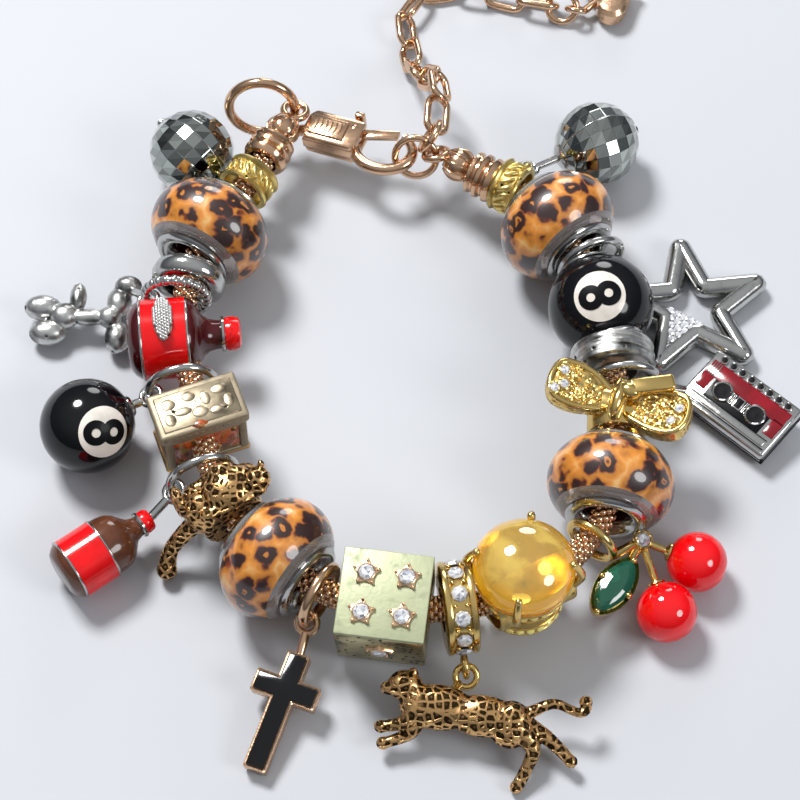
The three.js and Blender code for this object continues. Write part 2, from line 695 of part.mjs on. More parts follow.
// A cube with stones set in raised stars, four on its top and one on each open side.
function diceBead() {
  const { side, bevel, star, starRise, stone, pitch, roll } = DICE;
  const half = side / 2;
  const face = polygon([[-half, -half], [half, -half], [half, half], [-half, half]]);
  const cube = plate(face, side, bevel);
  const setting = join(
    plate(starShape(star, 0.5), 2 * starRise),
    shift(brilliant(stone, 0.35, 0.6), 0, 0, starRise),
  );
  const stars = [];
  for (const x of [-1, 1]) {
    for (const y of [-1, 1]) {
      stars.push(shift(setting, (x * pitch) / 2, (y * pitch) / 2, half));
    }
  }
  for (const turn of [90, -90]) {
    const standing = new THREE.Matrix4().makeRotationX(degrees(turn));
    stars.push(moved(shift(setting, 0, 0, half), standing));
  }
  const hole = bar([-side, 0, 0], [side, 0, 0], BORE_RADIUS, BORE_RADIUS, 10);
  add('dice_bead', join(cube, stars).subtract(hole), 'mintEnamel', onChain(AT.dice, { roll }));
}

// A wheel with a row of stones round its rim and an eye for the running cat.
function crystalSpacer() {
  const { radius, length, stones, stone, stoneRise, rim, eyeLean } = SPACER;
  const half = length / 2;
  const outside = [
    [-half, radius],
    [-half + 0.7, radius + rim],
    [-half + 0.8, radius - 0.1],
    [half - 0.8, radius - 0.1],
    [half - 0.7, radius + rim],
    [half, radius],
  ];
  const wheel = turnedRing(outside, BORE_RADIUS);
  const set = [];
  for (let i = 0; i < stones; i += 1) {
    const turn = new THREE.Matrix4().makeRotationX((2 * Math.PI * (i + 0.5)) / stones);
    set.push(moved(shift(brilliant(stone, stoneRise, 1.1), 0, 0, radius - 0.1), turn));
  }
  const matrix = onChain(AT.spacer);
  const eyeTurn = new THREE.Matrix4().makeRotationX(degrees(eyeLean));
  const eyeAt = radius + rim + EYE.radius + EYE.wire - 0.3;
  const eye = moved(shift(ring(EYE.radius, EYE.wire, 10, 5), 0, -eyeAt, 0), eyeTurn);
  add('crystal_spacer', join(wheel, set, eye), 'yellowGold', matrix);
  const eyeFrame = matrix.clone().multiply(eyeTurn);
  eyeFrame.multiply(new THREE.Matrix4().makeTranslation(0, -eyeAt, 0));
  return eyeFrame;
}

// A running spotted cat that lies on its side below the spacer.
function runningCat() {
  const eyeFrame = crystalSpacer();
  const place = onRing(eyeFrame, EYE.radius, 0);
  const matrix = lying(PLACE.runningCat);
  const body = [
    egg([-1.4, -0.4, 0], [3.9, 2.0, 1.7], 8, 6),
    egg([3.6, -0.9, 0], [3.6, 1.75, 1.55], 8, 5),
    egg([6.6, -1.6, 0], [2.2, 2.3, 1.5]),
    egg([-5.0, 1.2, 0.2], [1.75, 1.45, 1.35]),
    egg([-6.5, 0.7, 0.3], [1.1, 0.85, 0.85], 6, 4),
    ball(-4.3, 2.6, 0.7, 0.5, 5, 3),
    ball(-4.2, 2.4, -0.6, 0.5, 5, 3),
  ];
  const legs = [
    limb([[-3.4, -0.9, 0.6, 1.15], [-4.6, -3.0, 0.5, 0.8], [-6.9, -3.4, 0.2, 0.65]]),
    limb([[-2.6, -1.2, -0.5, 1.1], [-4.0, -4.2, -0.4, 0.75], [-6.4, -5.0, -0.4, 0.65]]),
    limb([[7.0, -2.0, 0.4, 1.5], [9.6, -3.4, 0.2, 0.9], [8.6, -6.2, -0.1, 0.7], [7.8, -8.0, -0.5, 0.75]]),
    limb([[7.2, -1.4, -0.4, 1.4], [10.6, -2.6, -0.4, 0.8], [12.9, -4.6, -0.6, 0.65]]),
  ];
  const tail = limb([
    [8.0, -0.4, 0, 0.75],
    [10.8, 1.2, 0, 0.55],
    [13.6, 0.2, 0, 0.5],
    [14.2, 1.3, 0, 0.6],
  ]);
  const charm = hung([...body, ...legs, tail], place, EYE, matrix, [0, 0.8, 0], STEM);
  add('running_cat_charm', charm, 'antiqueGold', matrix, LUMPY);
}

// A round yellow stone over a basket with a row of small stones.
function citrineBead() {
  const { radius, dome, seat, basket, prong, inward, sleeve: tube } = CITRINE;
  const floor = -basket;
  const outside = [
    [floor, radius * 0.62],
    [floor + 1.2, radius * 0.78],
    [floor + 2.4, radius * 0.78],
    [floor + 2.8, radius * 0.7],
    [seat - 1.4, radius * 0.82],
    [seat, radius * 0.98],
  ];
  const standing = new THREE.Matrix4().makeRotationY(-Math.PI / 2);
  const closed = [[floor, 0], ...outside, [seat, 0]];
  const cup = moved(turned(closed, ROUND_SIDES), standing);
  const sleeve = turned([[1 - radius, 0], [1 - radius, tube], [radius - 1, tube], [radius - 1, 0]], 10);
  const prongs = [];
  for (const angle of [35, 125, 215, 305]) {
    const [c, s] = [Math.cos(degrees(angle)), Math.sin(degrees(angle))];
    const r = radius + CLEARANCE + prong;
    prongs.push(limb([
      [c * radius * 0.8, s * radius * 0.8, seat - 1.6, prong],
      [c * r, s * r, seat, prong],
      [c * (r - 0.15), s * (r - 0.15), seat + 1.6, prong],
    ]));
  }
  const hole = bar([-2 * radius, 0, 0], [2 * radius, 0, 0], BORE_RADIUS, BORE_RADIUS, 10);
  const matrix = onChain(AT.citrine);
  const sideways = new THREE.Matrix4().makeTranslation(0, inward, 0);
  const setting = join(moved(join(cup, prongs), sideways), sleeve).subtract(hole);
  add('citrine_setting', setting, 'yellowGold', matrix, LUMPY);
  const bottom = seat + CLEARANCE;
  const profile = [
    [bottom, 0],
    [bottom, radius * 0.9],
    [bottom + 0.4, radius],
    [bottom + dome * 0.35, radius * 0.9],
    [bottom + dome * 0.68, radius * 0.68],
    [bottom + dome * 0.92, radius * 0.36],
    [bottom + dome, 0],
  ];
  const stone = moved(moved(turned(profile, 14), standing), sideways);
  add('citrine_stone', stone, 'yellowStone', matrix);
}

// Two cherries on gold stems, with a leaf and a small stone, on a ring round the chain.
function cherries() {
  const hoop = onChain(AT.cherry, { outward: 0.4 });
  const hoopSolid = moved(ring(CHERRY.hoop, CHERRY.wire), hoop);
  const { cherryJoint, cherry1, cherry2 } = PLACE;
  const edge = onRing(hoop, CHERRY.hoop, cherryJoint.eyeAngle).point;
  const joint = vector(cherryJoint.x, cherryJoint.y, cherryJoint.z);
  const centres = [cherry1, cherry2].map(({ x, y }) => vector(x, y, CHERRY.radius));
  const parts = [hoopSolid, bar(edge.toArray(), joint.toArray(), 0.6, 0.6, 6)];
  parts.push(shift(brilliant(CHERRY.bezel, 0.5, 1.2), joint.x, joint.y, joint.z + 0.9));
  centres.forEach((centre, i) => {
    const away = centre.clone().sub(joint).normalize();
    const end = centre.clone().addScaledVector(away, -CHERRY.radius - CLEARANCE);
    parts.push(bar(joint.toArray(), end.toArray(), CHERRY.stem, CHERRY.stem, 6));
    parts.push(ball(...end.toArray(), 0.01 + CHERRY.stem, 6, 4));
    add(`cherry_${i + 1}`, ball(0, 0, 0, CHERRY.radius, 12, 8), 'redStone', frame(centre));
  });
  const leafPlace = lying(PLACE.leaf);
  const { length, width, depth, rim } = LEAF;
  const leaf = (grow) => {
    const points = [];
    for (let i = 0; i < 12; i += 1) {
      const a = degrees(30 * i);
      const x = (length / 2 + grow) * Math.cos(a);
      points.push([x, (width / 2 + grow) * Math.sign(Math.sin(a)) * Math.abs(Math.sin(a)) ** 1.25]);
    }
    return polygon(points);
  };
  const gap = CLEARANCE / 2;
  const cup = plate(leaf(rim + gap), depth).subtract(shift(plate(leaf(gap), depth), 0, 0, 0.5));
  parts.push(moved(cup, leafPlace));
  const leafBack = vector(1.6, 0, -depth / 2 + 0.2).applyMatrix4(leafPlace);
  parts.push(bar(leafBack.toArray(), joint.toArray(), 0.6, 0.6, 6));
  add('cherry_frame', join(parts), 'yellowGold', new THREE.Matrix4(), LUMPY);
  const table = shift(plate(leaf(0), depth * 0.75, 0.3), 0, 0, 0.58 - depth * 0.125 + gap);
  add('leaf_stone', table, 'greenStone', leafPlace);
}

// A bow of two open loops, a knot and a flat tail, over a sleeve on the chain.
function bowBead() {
  const { loop, wire, knot, span, depth, core, length, tail, twist } = BOW;
  const half = length / 2;
  const sleeve = turned([[-half, 0], [-half, core], [half, core], [half, 0]]);
  const lift = core + wire - 0.7;
  const loops = [-1, 1].map((side) => {
    const geometry = new THREE.TorusGeometry(loop, wire, 6, 12);
    geometry.scale(0.95, 1.25, 1);
    geometry.rotateX(degrees(side * 24));
    geometry.translate(0, side * span, lift - 0.6);
    return solid(geometry);
  });
  const tie = egg([0, 0, lift + 0.2], [knot * 0.9, knot, knot * 0.8]);
  const ends = [
    limb([[0.9, -1.4, lift, 0.8], [2.0, -4.6, lift - 0.4, 0.7]], 6),
    shift(block(1.5, tail, 1), 1.9, -4.6, lift - 0.3),
  ];
  const cover = block(length * 0.8, 2 * span, depth);
  const back = shift(cover.intersect(egg([0, 0, 0], [3, 5.2, 2])), 0, 0, lift - 1.2);
  const bow = join(loops, tie, ends, back);
  const turn = new THREE.Matrix4().makeRotationZ(degrees(twist));
  const hole = bar([-length, 0, 0], [length, 0, 0], BORE_RADIUS, BORE_RADIUS, 10);
  const bead = join(sleeve, moved(bow, turn)).subtract(hole);
  add('bow_bead', bead, 'yellowGold', onChain(AT.bow), LUMPY);
}

// An open star of bevelled bars with a solid corner, on a plain ring.
function starCharm() {
  const bail = hangingRing('star_bail', AT.starBail, HOOP, 'silver');
  const place = onRing(bail, HOOP.radius, PLACE.star.eyeAngle);
  const { radius, inner, bar: width, depth, bevel } = STAR;
  const matrix = lying(PLACE.star, depth / 2);
  const shape = starShape(radius, inner);
  const inside = starShape(radius - width * 3, inner);
  const body = plate(shape, depth, bevel).subtract(plate(inside, depth * 2));
  const corner = [0, 1].map((i) => {
    const angle = degrees(90 + 144 + 36 * i);
    const r = i ? radius * inner * 0.8 : radius * 0.8;
    return [r * Math.cos(angle), r * Math.sin(angle)];
  });
  const far = degrees(90 + 144 - 36);
  corner.push([radius * inner * 0.8 * Math.cos(far), radius * inner * 0.8 * Math.sin(far)]);
  const fill = plate(polygon([corner[2], corner[0], corner[1]]), depth * 0.7);
  const tip = degrees(90 + 72);
  const stemTo = [(radius - width) * Math.cos(tip), (radius - width) * Math.sin(tip), 0];
  const charm = hung([body, fill], place, EYE, matrix, stemTo, STEM);
  add('star_charm', charm, 'silver', matrix);
}

// A small tape cassette with two reels, a window and a row of studs, on a plain ring.
function tapeCharm() {
  const bail = hangingRing('tape_bail', AT.tapeBail, HOOP, 'silver');
  const place = onRing(bail, HOOP.radius, PLACE.tape.eyeAngle);
  const { length, width, depth, reel, pitch, window: opening, stud, studs } = TAPE;
  const matrix = lying(PLACE.tape, depth / 2);
  const [endX, endY] = [length / 2, width / 2];
  const face = polygon([[-endX, -endY], [endX, -endY], [endX, endY], [-endX, endY]]);
  const parts = [plate(face, depth, 0.3)];
  for (const side of [-1, 1]) {
    const x = (side * pitch) / 2;
    parts.push(bar([x, 0.3, 0], [x, 0.3, depth / 2 + 0.3], reel, reel, 10));
  }
  for (let i = 0; i < studs; i += 1) {
    const x = (length * 0.8 * (i + 0.5)) / studs - length * 0.4;
    parts.push(ball(x, width / 2 - 0.9, depth / 2, stud, 6, 3));
  }
  const cut = shift(block(pitch - 2 * reel - 0.6, opening, 0.8), 0, 0.3, depth / 2);
  const body = join(parts).subtract(cut);
  const charm = hung([body], place, EYE, matrix, [-length / 2 + 0.5, -width / 4, 0], STEM);
  add('tape_charm', charm, 'silver', matrix);
}

// A little round-lobed animal, on a beaded ring.
function silverAnimal() {
  const bail = hangingRing('animal_bail', AT.animalBail, BEADED_BAIL, 'silver');
  const place = onRing(bail, BEADED_BAIL.radius, PLACE.animal.eyeAngle);
  const matrix = lying(PLACE.animal);
  const lobes = [
    { at: [-5.2, 1.5, -0.2], size: [2.2, 1.5, 1.5] },
    { at: [-4.5, -1.6, -0.7], size: [2.2, 1.5, 1.5] },
    { at: [-2.6, 0.2, 0.1], size: [1.7, 1.6, 1.4] },
    { at: [-1.1, 2.4, 0.6], size: [1.0, 1.9, 1.0] },
    { at: [0.2, -0.1, 0.3], size: [2.6, 0.95, 0.95] },
    { at: [2.6, -0.1, 0.3], size: [1.4, 1.3, 1.3] },
    { at: [3.6, 1.9, 0.2], size: [1.5, 1.9, 1.5] },
    { at: [3.5, -2.3, -0.6], size: [1.5, 2.0, 1.5] },
    { at: [4.6, 3.7, 1.0], size: [1.6, 1.2, 1.2] },
  ];
  const parts = lobes.map(({ at, size: radii }) => egg(at, radii, 8, 4));
  const charm = hung(parts, place, EYE, matrix, [4.9, 3.2, 1.2], STEM);
  add('silver_animal', charm, 'silver', matrix, LUMPY);
}

// A rope-edged bail on the chain with an eye, and a mirror ball hanging from it.
function facetedBall(number, at, { x, y, eyeAngle }) {
  const { radius, length, lip, eye: size } = ROPE_BAIL;
  const half = length / 2;
  const outside = [
    [-half, radius - 0.1],
    [-half + lip * 0.5, radius],
    [-half + lip, radius - 0.3],
    [half - lip, radius - 0.3],
    [half - lip * 0.5, radius],
    [half, radius - 0.1],
  ];
  const matrix = onChain(at);
  const turn = new THREE.Matrix4().makeRotationX(degrees(eyeAngle));
  const eyeAt = radius + size.radius + size.wire - 0.7;
  const eye = moved(shift(ring(size.radius, size.wire, 10, 5), 0, -eyeAt, 0), turn);
  add(`rope_bail_${number}`, join(turnedRing(outside, BORE_RADIUS, 10), eye), 'yellowGold', matrix);
  const eyeFrame = matrix.clone().multiply(turn);
  eyeFrame.multiply(new THREE.Matrix4().makeTranslation(0, -eyeAt, 0));
  const place = onRing(eyeFrame, size.radius, 0);
  const ballFrame = towards(vector(x, y, FACETED.radius), place.point);
  const body = turned(facetProfile(), FACETED.around);
  const top = FACETED.radius;
  const collar = bar([top - 0.6, 0, 0], [top + 0.3, 0, 0], FACETED.cap, FACETED.cap * 0.7, 10);
  const pin = ball(-FACETED.radius - 0.1, 0, 0, 0.7, 6, 4);
  const charm = hung([body, collar, pin], place, size, ballFrame, [FACETED.radius, 0, 0], STEM);
  add(`faceted_ball_${number}`, charm, 'mirrorGlass', ballFrame);
}

function facetProfile() {
  const { radius, rows } = FACETED;
  const profile = [];
  for (let i = 0; i <= rows; i += 1) {
    const a = (Math.PI * i) / rows;
    profile.push([-radius * Math.cos(a), i === 0 || i === rows ? 0 : radius * Math.sin(a)]);
  }
  return profile;
}

// The clasp's frames. A ring's frame has its first direction at angle 0 and its second at 90.
function ringFrame(centre, first, second) {
  const y = first.clone().normalize().negate();
  const z = second.clone().addScaledVector(y, -second.dot(y)).normalize();
  const x = new THREE.Vector3().crossVectors(y, z);
  return new THREE.Matrix4().makeBasis(x, y, z).setPosition(centre);
}

// The frame of a ring or link that is threaded on a wire and pulled to one side of it.
function threaded(place, away, offset) {
  const first = away.clone().addScaledVector(place.way, -away.dot(place.way)).normalize();
  const second = new THREE.Vector3().crossVectors(place.way, first);
  return ringFrame(place.point.clone().addScaledVector(first, offset), first, second);
}

// A turned cap on the chain's end, X pointing away from the chain.
function capSolid() {
  const { radius, length, ball: knob } = CAP;
  const sleeve = CHAIN.radius + CLEARANCE;
  const cup = turned([
    [0, sleeve],
    [0, radius * 0.9],
    [length * 0.12, radius],
    [length * 0.2, radius * 0.8],
    [length * 0.3, radius],
    [length * 0.4, radius * 0.8],
    [length * 0.5, radius * 0.95],
    [length * 0.6, radius * 0.55],
    [length * 0.6, 0],
    [length * 0.45, 0],
    [length * 0.45, sleeve],
    [0, sleeve],
  ], 10);
  return join(cup, ball(length * 0.6 + knob * 0.7, 0, 0, knob));
}

// Where a cap sits on the end of the chain, and where its eye comes.
function capPlace(share) {
  const point = chainCurve.getPointAt(share);
  const way = chainCurve.getTangentAt(share).multiplyScalar(share > 0.5 ? 1 : -1);
  const start = point.clone().addScaledVector(way, CLEARANCE - CAP.length * 0.45);
  const matrix = frame(start, THREE.MathUtils.radToDeg(Math.atan2(way.y, way.x)));
  const knobEnd = CAP.length * 0.6 + CAP.ball * 1.6;
  return { matrix, knobEnd, eye: vector(knobEnd + CAP.eye, 0, 0).applyMatrix4(matrix) };
}

function endCap(name, cap, place) {
  const eyeSize = { radius: CAP.eye, wire: CAP.eyeWire };
  const body = hung([capSolid()], place, eyeSize, cap.matrix, [cap.knobEnd - 0.4, 0, 0], 0.7);
  add(name, body, 'roseGold', cap.matrix, LUMPY);
}

// The lobster's body and hook, in a frame whose origin is its tail eye and X its length.
function lobsterBody(place, matrix) {
  const { neck, length, width, depth, slot, hookX, hookY, wire, plate: badge } = LOBSTER;
  const end = neck + length;
  const half = width / 2;
  const outline = polygon([
    [neck + 0.7, -half],
    [end - 0.5, -half],
    [end, -half + 0.6],
    [end, half - 0.2],
    [end - 0.4, half],
    [neck + 0.7, half],
    [neck, half - 0.9],
    [neck, -half + 0.9],
  ]);
  const body = plate(outline, depth, 0.4);
  const top = shift(block(length * 0.62, width * 0.72, 2 * badge), neck + length * 0.42, 0, depth / 2);
  const room = shift(block(2 * LEVER.slotBack, width, slot), end, half - LEVER.slotDepth + half, 0);
  const [pivotX, pivotY] = leverPivot();
  const pinEnd = depth / 2 - 0.2;
  const pin = bar([pivotX, pivotY, -pinEnd], [pivotX, pivotY, pinEnd], LEVER.pin, LEVER.pin, 10);
  const centreX = end + hookX - wire;
  const points = [];
  for (let i = 0; i <= 9; i += 1) {
    const a = degrees(-158 + (LOBSTER.tipAngle + 158) * (i / 9));
    points.push(vector(centreX + hookX * Math.cos(a), hookY * Math.sin(a), 0));
  }
  const circle = [];
  for (let i = 0; i < 8; i += 1) {
    circle.push([wire * Math.cos((Math.PI * i) / 4), wire * Math.sin((Math.PI * i) / 4)]);
  }
  const path = new THREE.CatmullRomCurve3(points);
  const hook = solid(new THREE.ExtrudeGeometry(polygon(circle), { steps: 16, extrudePath: path }));
  const parts = join(body, top, hook).subtract(room);
  const whole = hung([parts, pin], place, EYE, matrix, [neck + 0.4, 0, 0], 0.75);
  add('lobster_body', whole, 'roseGold', matrix, LUMPY / 2);
}

function leverPivot() {
  return [LOBSTER.neck + LOBSTER.length - 1.2, LOBSTER.width / 2 - 1.15];
}

// The lever closes the hook from inside its slot, with a fin for the thumb.
function lobsterLever(matrix) {
  const { depth, width, pin, pinGap, tipGap, fin, finAt } = LEVER;
  const [x, y] = leverPivot();
  const centreX = LOBSTER.neck + LOBSTER.length + LOBSTER.hookX - LOBSTER.wire;
  const tip = degrees(LOBSTER.tipAngle);
  const tipX = centreX + LOBSTER.hookX * Math.cos(tip) - tipGap;
  const tipY = LOBSTER.hookY * Math.sin(tip);
  const boss = bar([x, y, -depth / 2], [x, y, depth / 2], width * 0.95, width * 0.95, 12);
  const gate = plate(polygon([
    [x, y - width / 2],
    [tipX, tipY - width / 2],
    [tipX, tipY + width / 2],
    [x + 0.2, y + width * 0.7],
  ]), depth);
  const stalk = shift(block(0.9, fin, depth), x - 0.2, y + fin / 2, 0);
  const thumb = shift(block(1.3, 0.9, LOBSTER.depth * 0.9), x - 0.2, y + finAt + 0.45, 0);
  const hole = bar([x, y, -depth], [x, y, depth], pin + pinGap, pin + pinGap, 10);
  add('lobster_lever', join(boss, gate, stalk, thumb).subtract(hole), 'roseGold', matrix);
}

// An oval link lying in the XY plane with its length along X.
function oval({ length, width, wire, steps, sides }) {
  const radius = width / 2 - wire;
  const stretch = (length - width) / 2;
  const geometry = new THREE.TorusGeometry(radius, wire, sides, steps);
  geometry.rotateZ(Math.PI / steps);
  const position = geometry.getAttribute('position');
  for (let i = 0; i < position.count; i += 1) {
    position.setX(i, position.getX(i) + Math.sign(position.getX(i)) * stretch);
  }
  return solid(geometry);
}

// The extension chain: oval links along its route, turned in turn to the left and right.
function extension(place) {
  const { length, wire, roll } = LINK;
  const pitch = length - 4 * wire + 0.34;
  const slack = length / 2 - SMALL_JUMP.wire - 2 * wire - CLEARANCE / 2;
  const points = EXTENSION_ROUTE.map(({ x, y, z }) => vector(x, y, z));
  const away = points[0].clone().sub(place.point);
  const firstFrame = threaded(place, away, slack);
  const start = new THREE.Vector3().setFromMatrixPosition(firstFrame);
  const ahead = vector(0, -1, 0).transformDirection(firstFrame);
  points.unshift(start, start.clone().addScaledVector(ahead, pitch));
  const route = new THREE.CatmullRomCurve3(points, false, 'centripetal');
  const count = Math.floor(route.getLength() / pitch) + 1;
  const link = oval(LINK);
  const parts = [];
  let last;
  for (let i = 0; i < count; i += 1) {
    const share = Math.min((i * pitch) / route.getLength(), 1);
    const matrix = towards(route.getPointAt(share), route.getPointAt(share).add(route.getTangentAt(share)));
    matrix.multiply(new THREE.Matrix4().makeRotationX(degrees(i % 2 ? roll : -roll)));
    if (i === 0) {
      matrix.copy(firstFrame).multiply(new THREE.Matrix4().makeRotationZ(-Math.PI / 2));
      matrix.multiply(new THREE.Matrix4().makeRotationX(Math.PI / 2));
    }
    parts.push(moved(link, matrix));
    last = matrix;
  }
  add('extension_chain', join(parts), 'roseGold', new THREE.Matrix4(), LUMPY);
  return {
    point: vector(length / 2 - wire, 0, 0).applyMatrix4(last),
    way: vector(0, 1, 0).transformDirection(last),
    along: vector(1, 0, 0).transformDirection(last),
  };
}

// A puffed heart with its eye on the extension's last ring.
function heartDrop(place) {
  const { width, height, depth } = HEART;
  const shape = new THREE.Shape();
  const [w, h] = [width / 2, height];
  shape.moveTo(0, h * 0.32);
  shape.bezierCurveTo(w * 0.2, h * 0.62, w, h * 0.6, w, h * 0.18);
  shape.bezierCurveTo(w, -h * 0.12, w * 0.4, -h * 0.3, 0, -h * 0.5);
  shape.bezierCurveTo(-w * 0.4, -h * 0.3, -w, -h * 0.12, -w, h * 0.18);
  shape.bezierCurveTo(-w, h * 0.6, -w * 0.2, h * 0.62, 0, h * 0.32);
  const body = plate(shape, depth, 1.0, 4);
  const matrix = lying(PLACE.heart, depth / 2);
  const charm = hung([body], place, EYE, matrix, [0, h * 0.3, 0], STEM);
  add('heart_drop', charm, 'roseGold', matrix, LUMPY);
}

// The clasp: a large ring in the left cap's eye, the lobster and its lever, and the rings
// that join its hook to the right cap and to the extension chain.
function clasp() {
  const left = capPlace(0);
  const right = capPlace(1);
  const firstWay = vector(-1, 0.05, 0.1).normalize();
  const ringCentre = left.eye.clone().addScaledVector(firstWay, CLASP_RING.radius);
  const claspFrame = ringFrame(ringCentre, firstWay.clone().negate(), vector(0, 0.2, 0.98));
  add('clasp_ring', ring(CLASP_RING.radius, CLASP_RING.wire, 16), 'roseGold', claspFrame);
  endCap('end_cap_left', left, onRing(claspFrame, CLASP_RING.radius, 0));
  const tail = onRing(claspFrame, CLASP_RING.radius, CLASP_RING.tailAngle);
  const lobster = frame(tail.point, LOBSTER.yaw, LOBSTER.pitch);
  lobsterBody(tail, lobster);
  lobsterLever(lobster);
  const barX = LOBSTER.neck + LOBSTER.length + 2 * LOBSTER.hookX - LOBSTER.wire;
  const bend = vector(barX, 0, 0).applyMatrix4(lobster);
  const out = right.eye.clone().sub(bend).normalize();
  const jumpCentre = right.eye.clone().addScaledVector(out, -JUMP.radius);
  const sideways = new THREE.Vector3().crossVectors(vector(0, 0, 1), out).normalize();
  const lean = degrees(JUMP.tilt);
  const second = sideways.multiplyScalar(Math.cos(lean)).add(vector(0, 0, Math.sin(lean)));
  const jumpFrame = ringFrame(jumpCentre, out, second);
  add('jump_ring_a', ring(JUMP.radius, JUMP.wire), 'roseGold', jumpFrame);
  endCap('end_cap_right', right, onRing(jumpFrame, JUMP.radius, 0));
  const upper = onRing(jumpFrame, JUMP.radius, JUMP.upperAngle);
  const offset = SMALL_JUMP.radius - SMALL_JUMP.wire - JUMP.wire - CLEARANCE / 2;
  const smallFrame = threaded(upper, vector(0.22, 1, 0), offset);
  add('jump_ring_b', ring(SMALL_JUMP.radius, SMALL_JUMP.wire), 'roseGold', smallFrame);
  const end = extension(onRing(smallFrame, SMALL_JUMP.radius, 0));
  const endFrame = threaded(end, end.along, END_RING.radius - END_RING.wire - LINK.wire - 0.2);
  add('end_ring', ring(END_RING.radius, END_RING.wire), 'roseGold', endFrame);
  heartDrop(onRing(endFrame, END_RING.radius, 0));
}

snakeChain();
leopardBead(1, AT.leopard1);
leopardBead(2, AT.leopard2);
leopardBead(3, AT.leopard3);
leopardBead(4, AT.leopard4);
stopperOne();
stopperTwo();
silverAnimal();
bigBottle();
ballCharm();
boxBead();
smallBottle();
catBead();
crossCharm();
diceBead();
runningCat();
citrineBead();
cherries();
bowBead();
ballBead();
starCharm();
tapeCharm();
facetedBall(1, AT.ropeBail1, PLACE.facetedBall1);
facetedBall(2, AT.ropeBail2, PLACE.facetedBall2);
clasp();

// The origin is below the middle of the bracelet, on the surface that it lies on.
const extent = new THREE.Box3().setFromObject(bracelet, true);
const centre = extent.getCenter(new THREE.Vector3());
bracelet.position.set(-centre.x, -centre.y, -extent.min.z);

export default bracelet;
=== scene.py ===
"""Looks of a charm bracelet that lies flat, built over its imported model."""

import math
import random

import bmesh
import bpy
from mathutils import Euler, Matrix, Vector


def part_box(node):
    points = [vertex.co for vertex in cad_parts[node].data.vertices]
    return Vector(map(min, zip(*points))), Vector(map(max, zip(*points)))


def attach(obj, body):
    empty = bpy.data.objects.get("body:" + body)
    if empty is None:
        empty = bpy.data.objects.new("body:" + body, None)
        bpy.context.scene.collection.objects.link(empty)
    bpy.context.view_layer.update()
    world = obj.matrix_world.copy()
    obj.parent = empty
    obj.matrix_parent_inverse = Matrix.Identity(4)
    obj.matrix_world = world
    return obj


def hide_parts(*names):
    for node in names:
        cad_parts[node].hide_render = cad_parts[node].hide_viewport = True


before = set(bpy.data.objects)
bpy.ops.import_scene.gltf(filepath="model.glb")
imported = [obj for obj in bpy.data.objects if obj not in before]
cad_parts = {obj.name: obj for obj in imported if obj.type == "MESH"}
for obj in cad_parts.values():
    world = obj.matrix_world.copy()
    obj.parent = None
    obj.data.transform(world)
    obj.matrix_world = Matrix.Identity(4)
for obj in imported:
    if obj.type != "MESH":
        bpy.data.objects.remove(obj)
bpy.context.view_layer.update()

bl_info = {
    "name": "Charm bracelet",
    "version": (1, 0, 0),
    "blender": (4, 5, 0),
    "location": "View3D > Sidebar > Bracelet",
    "description": "Builds the beads, charms, chain and clasp of a charm bracelet",
    "category": "Add Mesh",
}

MM = 0.001
POLE = 0.0005  # radius, in mm, that stands for none while a profile is turned
BRACELET = "bracelet"
LEVER = "clasp_lever"

